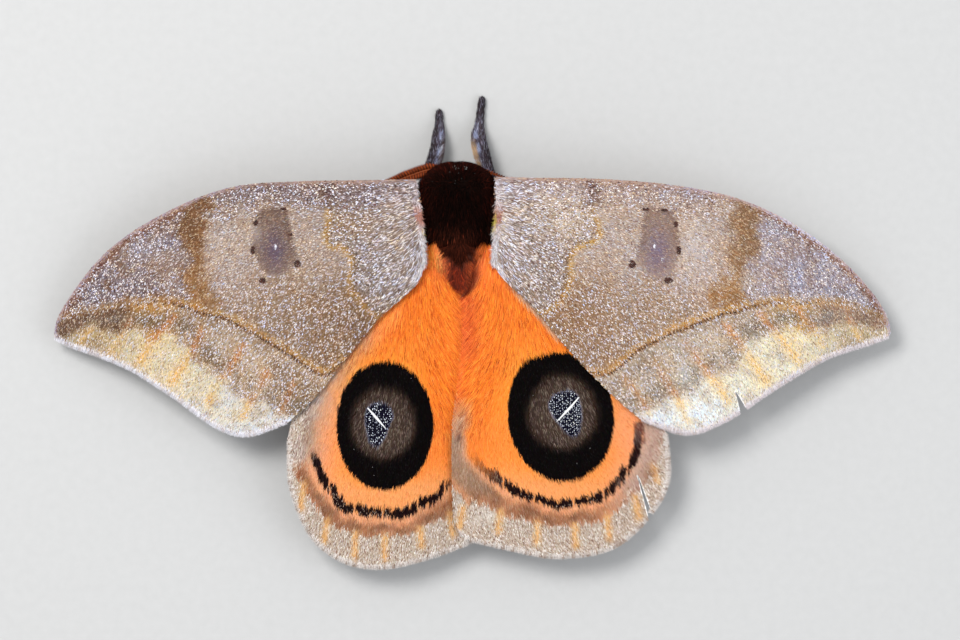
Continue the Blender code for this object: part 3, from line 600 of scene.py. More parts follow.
def rusty_base(px, py, colour, ragged):
    """The red-brown hair behind the thorax, a rounded wedge, over the wings' own colour."""
    half_wide = np.interp(py, [258, 266, 274, 284, 291, 296], [9, 15, 18, 12.5, 6, 0]) + ragged * 5
    inside = step(2.0, -1.5, np.abs(px - np.interp(py, [262, 296], [463, 464.5])) - half_wide) * step(256, 264, py) * step(297, 292, py)
    rust = mix(np.tile(np.array([136.0, 46, 14]), (len(px), 1)), (196, 88, 46), step(5, 16, np.abs(px - 463.5)))
    return colour + (rust - colour) * (inside * 0.92)[:, None]


def hindwing_top(px, py, side):
    m = HIND_MARKS[side]
    n_big = noise(px, py, 24, 23) - 0.5
    n_mid = noise(px, py, 8, 25) - 0.5
    n_small = noise(px, py, 2.6, 27) - 0.5
    hairy = noise(px, py * 0.25, 2.0, 29) - 0.5  # ragged along the hair
    seam = np.abs(px - np.interp(py, [290, 330, 395, 427, 545], [463, 466.5, 460, 453.5, 454]))
    colour = np.tile(np.array([274.0, 141, 38]), (len(px), 1))
    stray = np.full(len(px), 10.0)
    colour = mix(colour, (275, 162, 52), step(318, 372, py + n_big * 30) * step(24, 56, seam))
    away = (px - m["centre"][0]) * (1 if side == "right" else -1)
    # beside the seam between the hindwings the orange is painted brighter, painted light against the shade of the
    # valley there, and along the seam itself a thin darker line is painted shade of that valley
    colour = mix(colour, (282, 146, 42), step(30, 8, seam) * step(420, 380, py))
    colour = mix(colour, (280, 116, 52), bell(seam, 3.5) * step(430, 400, py) * 0.4)
    if side == "right":
        # pale hair along the forewing's inner edge
        rim = (np.interp(py, [262, 276, 307, 357, 391, 420], [492.7, 500.8, 531.8, 574.3, 607.8, 641.2]) - px) * 0.7
        colour = mix(colour, (238, 196, 168), step(3.2, 1.0, rim) * step(278, 288, py) * step(344, 334, py) * 0.85)
    arc, arc_t = m["arc_line"].field(px, py)
    ring = step(440, 492, py) * step(-44, -18, arc)
    colour = mix(colour, (266, 174, 102), ring)
    colour = mix(colour, (270, 150, 64), step(395, 440, py) * (1 - ring) * 0.6)
    colour = mix(colour, (266, 172, 118), step(30, 66, away + n_big * 10) * step(374, 400, py) * 0.85)
    if side == "left":
        # paler along the forewing's rear edge
        slant = np.abs((px - 362) * 0.733 + (py - 341) * 0.68)
        colour = mix(colour, (290, 178, 104), step(22, 6, slant) * step(352, 336, py) * step(412, 396, px) * 0.45)
    # pale root, beside the tuft of the thorax; the left one is painted brighter than its own colour, and the base of
    # the wing in front of it is brightened too: painted light against the shade of the thorax and the forewings
    root = np.exp(-(((px - (441 if side == "left" else 477)) / 10) ** 2) - ((py - 258) / 16) ** 2)
    colour = mix(colour, (300, 176, 112) if side == "left" else (268, 126, 68), root * 0.9)
    colour = mix(colour, (306, 150, 62), step(300, 262, py) * 0.55 * (1 - root))
    colour = mix(colour, (252, 108, 44), bell(px - 470, 11) * step(282, 298, py) * step(372, 342, py) * 0.75)
    colour = rusty_base(px, py, colour, n_small)
    # towards the front edge: tan, then grey
    costal, costal_t = m["costal_line"].field(px, py)
    fade = step(-24, 7, costal + n_mid * 8) if side == "left" else step(-12, 7, costal + n_mid * 6)
    colour = mix(colour, (226, 172, 138), fade * 0.92)
    colour = mix(colour, (203, 187, 179), (step(0, 12, costal + n_mid * 6) if side == "left" else step(2, 14, costal + n_mid * 6)) * 0.97)
    stray = stray + (28 - stray) * step(0, 18, costal)
    if side == "left":
        colour = mix(colour, (180, 152, 132), bell(px - 308, 8) * bell(py - 430, 26) * 0.8)
        colour = mix(colour, (214, 180, 158), bell(px - 315, 7) * bell(py - 411, 9) * 0.55)
    # beyond the black line: salmon, a brown band, then the pale grained margin
    begin = step(0.0, 0.13, arc_t) if side == "left" else step(-0.01, 0.08, arc_t)
    salmon = step(0, 5, arc)
    colour = mix(colour, (254, 178, 130), salmon * 0.92 * (0.05 + 0.95 * begin))
    longer = 5 * step(526, 498, px) + 9 * step(487, 464, px) if side == "right" else 0
    brown = step(5.0, 14.0, arc + n_mid * 5) * step(25, 18.5, arc - longer + hairy * 7 + n_mid * 4)
    if side == "right":
        brown = brown * (1 - 0.6 * bell(px - 614, 15)) * (1 - 0.5 * step(476, 462, px))
    colour = mix(colour, (160, 110, 80), brown * (0.62 + 0.5 * noise(px, py, 7, 35)) * (0.10 + 0.90 * begin))
    if side == "left":
        colour = mix(colour, (158, 102, 70), bell(px - 440, 11) * bell(py - 507, 8) * 0.7)
    if side == "right":
        colour = mix(colour, (206, 176, 162), step(604, 640, px + n_mid * 10) * salmon * 0.80)
    late = 5 * step(526, 498, px) + 9 * step(487, 464, px) if side == "right" else 0
    margin = step(19.5, 23.5, arc - late + hairy * 7 + n_mid * 3)
    outer = np.abs(m["outer_line"].side(px, py)[0])
    colour = mix(colour, (212, 191, 174), margin)
    if side == "right":
        colour = mix(colour, (236, 224, 212), margin * bell(px - 489, 14) * bell(py - 516, 8) * 0.75)
    stray = stray + (34 - stray) * margin
    for x, low, high in m["stripes"]:
        along = (py - low) / (high - low)
        lean = (x - m["centre"][0]) * 0.06
        stripe = bell(px - x - lean * (along - 0.5) + n_small * 1.6, 4.0) * step(-0.12, 0.1, along) * step(1.15, 0.85, along)
        colour = mix(colour, (248, 190, 124), stripe * 0.78)
        stray = stray + (np.minimum(stray, 22) - stray) * stripe
    # grey-brown strip along the inner edge of the wing that lies on top
    if side == "right":
        inner = np.interp(py, [395, 430, 460, 500, 545], [462, 453, 452, 454, 466])
        strip = step(19, 8, px - inner + n_mid * 6) * step(384, 424, py + n_mid * 14) * step(22, 16, arc)
        colour = mix(colour, (234, 170, 132), strip * 0.9)
        colour = mix(colour, (180, 146, 124), strip * bell(px - inner - 5, 6) * step(400, 430, py) * 0.5)
        colour = mix(colour, (112, 74, 66), bell(px - 459.5 + n_small * 3, 2.6) * bell(py - 436, 5) * 0.75)
        under = step(0, 14, arc) * step(505, 478, px) * step(24, 15, arc - 9 * step(487, 464, px))
        colour = mix(colour, (170, 138, 114), under * 0.75)
    else:
        strip = step(8, 3, seam) * step(424, 450, py)
        colour = mix(colour, (214, 128, 70), strip * 0.5 * step(520, 498, py))
    # black scalloped line, broken at the veins
    gap = np.ones(len(px))
    for x in m["gaps"]:
        gap = np.minimum(gap, step(0.2, 1.4, np.abs(px - x + n_small * 1.6)))
    ends = step(-0.02, 0.05, arc_t) * (step(1.02, 0.93, arc_t) if side == "left" else step(1.0, 0.72, arc_t) * 0.9 + 0.1 * step(1.0, 0.9, arc_t))
    scallop = 1.5 * np.sin(arc_t * TAU * 5.2)
    thick = np.interp(arc_t, [0, 0.12, 0.28, 0.85, 1], [0.72, 0.82, 1, 1, 0.85] if side == "left" else [0.8, 0.92, 1, 0.95, 0.6])
    black = step(5.6, 3.4, np.abs(arc + 1.0 + scallop * 0.4 + hairy * 5.0 + n_small * 2.0) / thick) * gap * ends
    if side == "right":
        black = black * (1 - 0.4 * bell(px - 624, 8) * bell(py - 486, 8))
        colour = mix(colour, (132, 84, 60), bell(px - 530, 9) * bell(py - 509, 6) * 0.6)
        colour = mix(colour, (262, 186, 134), bell(px - 638, 6) * bell(py - 438, 8) * 0.5)
        colour = mix(colour, (250, 180, 136), bell(px - 626, 6) * bell(py - 473, 6) * 0.45)
        colour = mix(colour, (158, 116, 92), bell(px - 650, 7) * bell(py - 474, 8) * 0.6)
    colour = mix(colour, (22, 10, 12), black * 0.97)
    if side == "right":
        faint = step(6.4, 3.0, np.abs(arc + 1.0 + hairy * 5.0 + n_small * 2.0)) * step(-0.05, -0.01, arc_t) * step(0.14, 0.03, arc_t)
        colour = mix(colour, (112, 66, 56), faint * 0.8)
    stray = stray + (16 - stray) * black
    # the eyespot
    (cx, cy), a, b = m["eye"]
    # fuller towards the upper left than towards the lower left
    west, north = step(8, -8, px - cx), step(8, -8, py - cy)
    lower_right = 2.04 if side == "right" else 1.98
    upper_left, lower_left = (2.8, 1.85) if side == "right" else (2.1, 2.1)
    power = north * (west * upper_left + (1 - west) * 2.12) + (1 - north) * (west * lower_left + (1 - west) * lower_right)
    if side == "right":
        across, down = (px - cx - 0.05 * (py - cy) * (1 - west)) / a, (py - cy) / b
    else:
        across, down = (px - cx) / a, (py - cy) / (b * (1 + 0.024 * north))
    radius = (np.abs(across) ** power + np.abs(down) ** power) ** (1 / power)
    ragged = hairy * 0.055 * step(10, -30, py - cy) + n_small * 0.022
    spot = step(1.012, 0.985, radius + ragged)
    colour = mix(colour, (9, 5, 5), spot)
    stray = stray + (4 - stray) * spot
    (cx, cy), a, b = m["disc"]
    radius = np.sqrt(((px - cx) / a) ** 2 + ((py - cy) / b) ** 2)
    lower = step(cy + 4, cy + b, py)
    disc = step(1.10, 0.78, radius + hairy * 0.10 + n_mid * 0.05 + lower * 0.14)
    colour = mix(colour, (72, 53, 43), disc)
    colour = mix(colour, (90, 71, 58), disc * step(0.80, 0.45, radius) * 0.6)
    colour = mix(colour, (108, 90, 76), disc * step(0.0, 0.45, hairy + n_mid * 0.6) * 0.4)
    stray = stray + (13 - stray) * disc
    drop = m["drop_line"].field(px, py)[0]
    inside = step(-0.6, 0.5, drop)
    colour = mix(colour, (15, 13, 34), inside)
    colour = mix(colour, (150, 156, 186), bell(drop + 0.4, 1.0) * 0.55)
    bar, bar_t = m["bar_line"].side(px, py)
    wide = np.interp(bar_t, [0, 0.15, 0.5, 0.8, 1], [0.7, 1.2, 1.7, 1.0, 0.5])
    streak = step(wide + 0.5, wide - 0.3, np.abs(bar)) * step(-0.01, 0.02, bar_t) * step(1.0, 0.97, bar_t)
    # the very edge
    colour = mix(colour, (228, 216, 208), step(5.4, 2.2, outer + n_small * 2) * margin * 0.85)
    return np.clip(colour, 0, 330), stray, inside * (1 - streak), streak


def forewing_under(px, py, side):
    """From the species: ochre-orange at the root, pinkish grey beyond, with a black eyespot in the cell."""
    m = FORE_MARKS[side]
    n_mid = noise(px, py, 10, 41) - 0.5
    second, second_t = m["second_line"].field(px, py)
    outer = np.abs(m["outer_line"].side(px, py)[0])
    out = np.abs(px - 458)
    colour = np.tile(np.array([206.0, 158, 122]), (len(px), 1))
    colour = mix(colour, (222, 138, 82), step(210, 40, out) * step(210, 260, py))
    colour = mix(colour, (186, 158, 146), step(250, 340, out + n_mid * 40))
    colour = mix(colour, (196, 172, 154), step(2, 12, second))
    colour = mix(colour, (132, 92, 66), bell(second, 3.0) * 0.7)
    colour = mix(colour, (168, 140, 124), bell(outer - 24, 8) * 0.5)
    (cx, cy), a, b, turn = m["spot"]
    radius = np.sqrt(((px - cx) / (a * 1.15)) ** 2 + ((py - cy) / (b * 0.62)) ** 2)
    colour = mix(colour, (30, 20, 18), step(1.05, 0.9, radius + n_mid * 0.1))
    colour = mix(colour, (226, 222, 226), step(0.28, 0.12, radius))
    return np.clip(colour, 0, 255), np.full(len(px), 22.0)


def hindwing_under(px, py, side):
    m = HIND_MARKS[side]
    n_mid = noise(px, py, 10, 43) - 0.5
    arc, arc_t = m["arc_line"].field(px, py)
    (cx, cy), a, b = m["eye"]
    colour = np.tile(np.array([190.0, 152, 132]), (len(px), 1))
    colour = mix(colour, (206, 150, 112), step(360, 290, py))
    colour = mix(colour, (136, 98, 80), bell(arc, 3.2) * 0.75)
    colour = mix(colour, (200, 176, 158), step(3, 12, arc))
    colour = mix(colour, (150, 120, 104), bell(arc - 16, 5) * 0.5)
    radius = np.sqrt((px - cx) ** 2 + (py - cy) ** 2)
    colour = mix(colour, (112, 84, 74), step(17, 13, radius + n_mid * 6) * 0.6)
    colour = mix(colour, (236, 232, 232), step(4.0, 2.4, radius))
    return np.clip(colour, 0, 255), np.full(len(px), 22.0)


# ---------------------------------------------------------------- wing surfaces

class Wing:
    """A smooth surface between four edge curves. u runs from the root to the outer edge, v from the front edge back."""

    def __init__(self, edges, height, nu, nv, trim):
        lead, inner = through(edges["lead"], nu + 1), through(edges["inner"], nu + 1)
        base, outer = through(edges["root"], nv + 1), through(edges["outer"], nv + 1)
        u, v = np.linspace(0, 1, nu + 1)[:, None, None], np.linspace(0, 1, nv + 1)[None, :, None]
        flat = (1 - v) * lead[:, None] + v * inner[:, None] + (1 - u) * base[None] + u * outer[None]
        flat = flat - (1 - u) * (1 - v) * lead[0] - u * (1 - v) * lead[-1] - (1 - u) * v * inner[0] - u * v * inner[-1]
        flat = flat + SHIFT
        x, y = flat[..., 0], flat[..., 1]
        z = height(x - SHIFT[0], y - SHIFT[1], u[..., 0], v[..., 0])
        self.at = np.stack([x, y, z], axis=-1)
        self.nu, self.nv, self.trim = nu, nv, trim
        du = np.gradient(self.at, axis=0)
        dv = np.gradient(self.at, axis=1)
        across = np.cross(du, dv)
        area = np.linalg.norm(across, axis=-1)
        normal = across / np.maximum(area, 1e-9)[..., None]
        if normal[..., 2].mean() < 0:
            normal = -normal
        # the mesh lines bunch up at the pointed corners, so normals are taken from the height alone there
        normal[area < 1e-4] = (0, 0, 1)
        self.normal = normal
        self.along = du / np.maximum(np.linalg.norm(du, axis=-1), 1e-9)[..., None]
        cell = (area[:-1, :-1] + area[1:, :-1] + area[:-1, 1:] + area[1:, 1:]) / 4
        self.cell = cell
        self.area = cell.sum()

    def sample(self, field, u, v):
        a, b = np.clip(u, 0, 1) * self.nu, np.clip(v, 0, 1) * self.nv
        i, j = np.minimum(a.astype(int), self.nu - 1), np.minimum(b.astype(int), self.nv - 1)
        s, t = (a - i)[:, None], (b - j)[:, None]
        low = field[i, j] * (1 - s) + field[i + 1, j] * s
        high = field[i, j + 1] * (1 - s) + field[i + 1, j + 1] * s
        return low * (1 - t) + high * t

    def scatter(self, count, rng):
        """Evenly spread (u, v), the same number on each square millimetre."""
        n = np.arange(count)
        a = (0.5 + n * 0.7548776662466927) % 1
        b = (0.5 + n * 0.5698402909980532) % 1
        grain = 1 / math.sqrt(count)
        a = (a + rng.normal(0, 0.35 * grain, count)) % 1
        b = (b + rng.normal(0, 0.35 * grain, count)) % 1
        rows = np.concatenate([[0], np.cumsum(self.cell.sum(axis=1))])
        u = np.interp(a, rows / rows[-1], np.linspace(0, 1, self.nu + 1))
        v = np.empty(count)
        row = np.minimum((u * self.nu).astype(int), self.nu - 1)
        edges = np.linspace(0, 1, self.nv + 1)
        order = np.argsort(row, kind="stable")
        starts = np.searchsorted(row[order], np.arange(self.nu + 1))
        for i in range(self.nu):
            some = order[starts[i] : starts[i + 1]]
            if len(some):
                c = np.concatenate([[0], np.cumsum(self.cell[i])])
                v[some] = np.interp(b[some], c / c[-1], edges)
        return u, v


def mesh_from(name, verts, faces, smooth):
    mesh = bpy.data.meshes.new(name)
    mesh.vertices.add(len(verts))
    mesh.vertices.foreach_set("co", np.ascontiguousarray(verts, np.float32).ravel())
    size = faces.shape[1]
    mesh.loops.add(faces.size)
    mesh.loops.foreach_set("vertex_index", np.ascontiguousarray(faces, np.int32).ravel())
    mesh.polygons.add(len(faces))
    mesh.polygons.foreach_set("loop_start", np.arange(0, faces.size, size, dtype=np.int32))
    mesh.polygons.foreach_set("loop_total", np.full(len(faces), size, np.int32))
    mesh.update(calc_edges=True)
    mesh.polygons.foreach_set("use_smooth", np.full(len(faces), smooth))
    return mesh


def paint(mesh, colours):
    attribute = mesh.color_attributes.new("Col", "FLOAT_COLOR", "POINT")
    four = np.ones((len(colours), 4), np.float32)
    four[:, :3] = colours
    attribute.data.foreach_set("color", four.ravel())


def piece(name, mesh, material, stands_for=()):
    obj = bpy.data.objects.new(name, mesh)
    bpy.context.scene.collection.objects.link(obj)
    mesh.materials.append(material)
    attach(obj, "root")
    if stands_for:
        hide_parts(*stands_for)
    return obj


# ---------------------------------------------------------------- materials


def coat_material(name, roughness, grain, strength, colour_change=0.10, sheen=0.0, specular=0.3):
    """Painted by the coat's own colours, with fine grain in colour, roughness and relief."""
    made, nodes, links, shader = node_material(name)
    paint_in = nodes.new("ShaderNodeVertexColor")
    paint_in.layer_name = "Col"
    where = nodes.new("ShaderNodeTexCoord")
    fine = nodes.new("ShaderNodeTexNoise")
    fine.inputs["Scale"].default_value = grain
    fine.inputs["Detail"].default_value = 3
    links.new(where.outputs["Object"], fine.inputs["Vector"])
    level = nodes.new("ShaderNodeMapRange")
    level.inputs["From Min"].default_value = 0.3
    level.inputs["From Max"].default_value = 0.7
    level.inputs["To Min"].default_value = 1 - colour_change
    level.inputs["To Max"].default_value = 1 + colour_change
    links.new(fine.outputs["Fac"], level.inputs["Value"])
    times = nodes.new("ShaderNodeVectorMath")
    times.operation = "SCALE"
    links.new(paint_in.outputs["Color"], times.inputs[0])
    links.new(level.outputs["Result"], times.inputs["Scale"])
    links.new(times.outputs["Vector"], shader.inputs["Base Color"])
    rough = nodes.new("ShaderNodeMapRange")
    rough.inputs["To Min"].default_value = roughness - 0.08
    rough.inputs["To Max"].default_value = roughness + 0.08
    links.new(fine.outputs["Fac"], rough.inputs["Value"])
    links.new(rough.outputs["Result"], shader.inputs["Roughness"])
    if strength:
        relief = nodes.new("ShaderNodeBump")
        relief.inputs["Strength"].default_value = strength
        relief.inputs["Distance"].default_value = 0.00004
        links.new(fine.outputs["Fac"], relief.inputs["Height"])
        links.new(relief.outputs["Normal"], shader.inputs["Normal"])
    shader.inputs["Specular IOR Level"].default_value = specular
    if sheen:
        shader.inputs["Sheen Weight"].default_value = sheen
        shader.inputs["Sheen Roughness"].default_value = 0.5
    return made


scale_mat = coat_material("wing_scales", 0.62, 9000, 0.12, 0.06, specular=0.35)
hair_mat = coat_material("hair", 0.60, 9000, 0.12, 0.08, specular=0.25)
dark_mat = coat_material("dark_hair", 0.80, 9000, 0.12, 0.10, specular=0.03)
hind_mat = coat_material("hindwing_hair", 0.66, 9000, 0.12, 0.06, specular=0.18)
black_mat = coat_material("black_scales", 0.85, 9000, 0.12, 0.08, specular=0.03)
membrane_mat = coat_material("wing_skin", 0.75, 5200, 0.35, 0.10, specular=0.2)
skin_mat = coat_material("body_skin", 0.85, 4200, 0.4, 0.12, specular=0.05)

# ---------------------------------------------------------------- coat makers

PATCH = 0.0015


def patch_uv(root_uv, faces_each):
    """Every face of a tuft takes one small triangle of the map at its root's place."""
    corner = np.array([(-PATCH, -PATCH), (PATCH, -PATCH), (0, PATCH)])
    root_uv = np.clip(root_uv, 0.004, 0.996)
    return (root_uv[:, None, None, :] + corner[None, None] + np.zeros((1, faces_each, 1, 1))).reshape(-1, 2)


def add_patch_map(mesh, root_uv, faces_each):
    layer = mesh.uv_layers.new(name="OFBake")
    layer.data.foreach_set("uv", patch_uv(root_uv, faces_each).astype(np.float32).ravel())


def unit(a):
    return a / np.maximum(np.linalg.norm(a, axis=-1, keepdims=True), 1e-12)


def vanes(name, root, way, normal, length, width, thick, lift, root_colour, tip_colour, root_uv, material):
    """Flat pointed scales, each a thin closed wedge: millimetres in, one joined piece out."""
    side = unit(np.cross(normal, way))
    base = root - normal * (thick * 0.5)[:, None]
    left = base - side * (width / 2)[:, None]
    right = base + side * (width / 2)[:, None]
    ridge = root + normal * thick[:, None] + way * (length * 0.28)[:, None]
    tip = root + way * length[:, None] + normal * (length * lift)[:, None]
    verts = np.stack([left, right, ridge, tip], axis=1).reshape(-1, 3) * MM
    n = len(root)
    pattern = np.array([(0, 2, 1), (0, 3, 2), (2, 3, 1), (1, 3, 0)])
    probe = verts[:4]
    middle = probe.mean(axis=0)
    a, b, c = probe[pattern[1]]
    if np.dot(np.cross(b - a, c - a), (a + b + c) / 3 - middle) < 0:
        pattern = pattern[:, ::-1]
    faces = (pattern[None] + 4 * np.arange(n)[:, None, None]).reshape(-1, 3)
    mesh = mesh_from(name, verts, faces, False)
    colours = np.stack([root_colour, root_colour, (root_colour + tip_colour) / 2, tip_colour], axis=1).reshape(-1, 3)
    paint(mesh, colours)
    add_patch_map(mesh, root_uv, 4)
    return piece(name, mesh, material)


def hairs(name, root, way, bend, length, width, root_colour, tip_colour, root_uv, material):
    """Tapered three-sided hairs that curve towards bend: closed, ten triangles each."""
    n = len(root)
    way = unit(way)
    middle = root + way * (length * 0.48)[:, None]
    later = unit(way + bend)
    tip = middle + later * (length * 0.52)[:, None]
    side = unit(np.cross(way, np.where(np.abs(way[:, 2:]) > 0.9, np.array([[1.0, 0, 0]]), np.array([[0, 0, 1.0]]))))
    up = np.cross(side, way)
    rings = []
    for centre, share in ((root, 1.0), (middle, 0.72)):
        for k in range(3):
            angle = TAU * k / 3 + 0.5
            rings.append(centre + (side * math.cos(angle) + up * math.sin(angle)) * (width / 2 * share)[:, None])
    verts = np.stack(rings + [tip], axis=1).reshape(-1, 3) * MM
    pattern = [(0, 2, 1)]
    for k in range(3):
        j = (k + 1) % 3
        pattern += [(k, j, 3 + j), (k, 3 + j, 3 + k), (3 + k, 3 + j, 6)]
    pattern = np.array(pattern)
    probe = verts[:7]
    a, b, c = probe[pattern[1]]
    if np.dot(np.cross(b - a, c - a), (a + b + c) / 3 - probe[:6].mean(axis=0)) < 0:
        pattern = pattern[:, ::-1]
    faces = (pattern[None] + 7 * np.arange(n)[:, None, None]).reshape(-1, 3)
    mesh = mesh_from(name, verts, faces, True)
    between = (root_colour + tip_colour) / 2
    colours = np.stack([root_colour] * 3 + [between] * 3 + [tip_colour], axis=1).reshape(-1, 3)
    paint(mesh, colours)
    add_patch_map(mesh, root_uv, 10)
    return piece(name, mesh, material)


def turned(way, normal, angle):
    """way turned about normal."""
    c, s = np.cos(angle)[:, None], np.sin(angle)[:, None]
    return way * c + np.cross(normal, way) * s


def scale_colours(mean, stray, rng, white=(256, 248, 256), cream=(258, 238, 214), grain=0.32):
    """Each scale's colour: pale and deep ones among middling ones, the mean kept; the deep ones are partly painted
    shade, standing in for the dark gaps between scales. Also each one's kind.
    """
    n = len(mean)
    draw = rng.random(n)
    kind = np.where(draw < 0.22, 1, np.where(draw < 0.38, -1, 0))
    frosty = step(23, 33, stray)[:, None]
    goal = np.asarray(cream, float) + (np.array(white) - np.asarray(cream, float)) * frosty
    toward = (np.clip((stray - 4) / 36, 0.06, 0.98) * step(16, 90, mean.max(axis=1)))[:, None]
    pale = mean + (goal - mean) * toward
    deep = np.maximum(mean - stray[:, None] * np.array([1.6, 1.95, 2.05]), mean * 0.42)
    middling = (mean - 0.33 * pale - 0.19 * deep) / 0.48
    middling = np.maximum(middling, mean * 0.5)
    lively = np.clip(rng.normal(0.95, 0.28, n), 0.3, 1.5)[:, None]
    colour = np.where((kind == 1)[:, None], mean + (pale - mean) * lively, np.where((kind == -1)[:, None], mean + (deep - mean) * lively, middling))
    colour = colour + (stray * grain * 1.5 * rng.normal(0, 1, n))[:, None]
    colour = colour + rng.normal(0, 3.0, (n, 3))
    return np.clip(colour, 2, 336), kind


# ---------------------------------------------------------------- wings

DENSE = 1.0
WINGS = {
    "forewing_left": (FOREWING_LEFT, forewing_height, "left", "fore"),
    "forewing_right": (FOREWING_RIGHT, forewing_height, "right", "fore"),
    "hindwing_left": (HINDWING_LEFT, hindwing_left_height, "left", "hind"),
    "hindwing_right": (HINDWING_RIGHT, hindwing_right_height, "right", "hind"),
}
SKIN_HALF = 0.09  # half the thickness of the bare wing


def in_tear(x, y, tears, room):
    """True in the wedge of a tear, with some room round it."""
    inside = np.zeros(len(x), bool)
    for tip, mouth, width in tears:
        tip, mouth = np.array(tip) + SHIFT, np.array(mouth) + SHIFT
        run = mouth - tip
        far = np.linalg.norm(run)
        run = run / far
        s = (x - tip[0]) * run[0] + (y - tip[1]) * run[1]
        d = np.abs(-(x - tip[0]) * run[1] + (y - tip[1]) * run[0])
        inside |= (s > -room) & (s < far + 1) & (d < 0.04 + np.clip(s / far, 0, 1.3) * width / 2 + room)
    return inside


def wedge(name, tip, mouth, width):
    tip, mouth = np.array(tip) + SHIFT, np.array(mouth) + SHIFT
    run = mouth - tip
    far = np.linalg.norm(run)
    run = run / far
    side = np.array([-run[1], run[0]])
    bm = bmesh.new()
    bmesh.ops.create_cube(bm, size=1)
    for vertex in bm.verts:
        reach, across, up = vertex.co.x + 0.5, vertex.co.y * 2, vertex.co.z + 0.5
        point = tip + run * reach * far + side * across * (0.04 + reach * width / 2)
        vertex.co = (point[0] * MM, point[1] * MM, up * 16 * MM)
    bm.normal_update()
    bmesh.ops.recalc_face_normals(bm, faces=bm.faces)
    mesh = bpy.data.meshes.new(name)
    bm.to_mesh(mesh)
    bm.free()
    obj = bpy.data.objects.new(name, mesh)
    bpy.context.scene.collection.objects.link(obj)
    return obj


def wing_skin(name, wing, top, under, tears):
    """The bare wing: a thin closed sheet, thicker along its front edge, painted as the scales over it."""
    nu, nv = wing.nu, wing.nv
    u = np.linspace(0, 1, nu + 1)[:, None] * np.ones((1, nv + 1))
    v = np.linspace(0, 1, nv + 1)[None, :] * np.ones((nu + 1, 1))
    lengths = np.linalg.norm(np.diff(wing.at, axis=0), axis=-1).sum(axis=0)
    chords = np.linalg.norm(np.diff(wing.at, axis=1), axis=-1).sum(axis=1)
    inset_u = 0.28 / lengths[None, :]
    inset_v = np.minimum(0.16 / np.maximum(chords, 1e-3), 0.2)[:, None]
    u2, v2 = u * (1 - inset_u), v * (1 - inset_v)
    middle = wing.sample(wing.at, u2.ravel(), v2.ravel())
    normal = unit(wing.sample(wing.normal, u2.ravel(), v2.ravel()))
    front = (v2 * np.maximum(chords, 1e-3)[:, None]).ravel()
    half = SKIN_HALF + 0.14 * np.exp(-((front / 0.4) ** 2))
    px, py = plan_of(middle[:, 0], middle[:, 1])
    top_colour, under_colour = linear(top(px, py)[0]), linear(under(px, py)[0])
    upper, lower = middle + normal * half[:, None], middle - normal * half[:, None]
    verts = np.vstack([upper, lower]) * MM
    count = (nu + 1) * (nv + 1)
    index = np.arange(count).reshape(nu + 1, nv + 1)
    a, b, c, d = index[:-1, :-1], index[1:, :-1], index[1:, 1:], index[:-1, 1:]
    sheet = np.stack([a, b, c, d], axis=-1).reshape(-1, 4)
    p, q, r = verts[sheet[len(sheet) // 2][:3]]
    if np.cross(q - p, r - p)[2] < 0:
        sheet = sheet[:, ::-1]
    rim = np.concatenate([index[:, 0], index[-1, 1:], index[-2::-1, -1], index[0, -2:0:-1]])
    after = np.roll(rim, -1)
    wall = np.stack([rim, rim + count, after + count, after], axis=-1)
    # the wall faces out when its upper edge runs against the sheet's own direction
    edges_of = {(int(f[k]), int(f[(k + 1) % 4])) for f in sheet[: nv + 1] for k in range(4)}
    first = (int(index[0, 1]), int(index[0, 0]))
    follows = first in edges_of
    i = int(np.where(rim == index[0, 0])[0][0])
    runs = (int(rim[i - 1]), int(rim[i])) == first
    if follows == runs:
        wall = np.stack([rim, rim + count, after + count, after], axis=-1)[:, ::-1]
    # quads whose corners meet at a pointed tip are kept: they have area on one side
    faces = np.vstack([sheet, sheet[:, ::-1] + count, wall])
    mesh = mesh_from(name, verts, faces, True)
    paint(mesh, np.vstack([top_colour, under_colour]))
    mesh.validate()
    obj = piece(name, mesh, membrane_mat, (name.replace("_skin", ""),))
    bm = bmesh.new()
    bm.from_mesh(mesh)
    bm.normal_update()
    if bm.calc_volume(signed=True) < 0:
        bmesh.ops.reverse_faces(bm, faces=bm.faces)
    bm.to_mesh(mesh)
    bm.free()
    for n, tear_of in enumerate(tears):
        cutter = wedge(f"{name}_tear{n}", *tear_of)
        cut = obj.modifiers.new("tear", "BOOLEAN")
        cut.operation = "DIFFERENCE"
        cut.solver = "EXACT"
        cut.object = cutter
        bpy.context.view_layer.update()
        made = bpy.data.meshes.new_from_object(obj.evaluated_get(bpy.context.evaluated_depsgraph_get()))
        obj.modifiers.clear()
        obj.data = made
        bpy.data.objects.remove(cutter)
    return obj


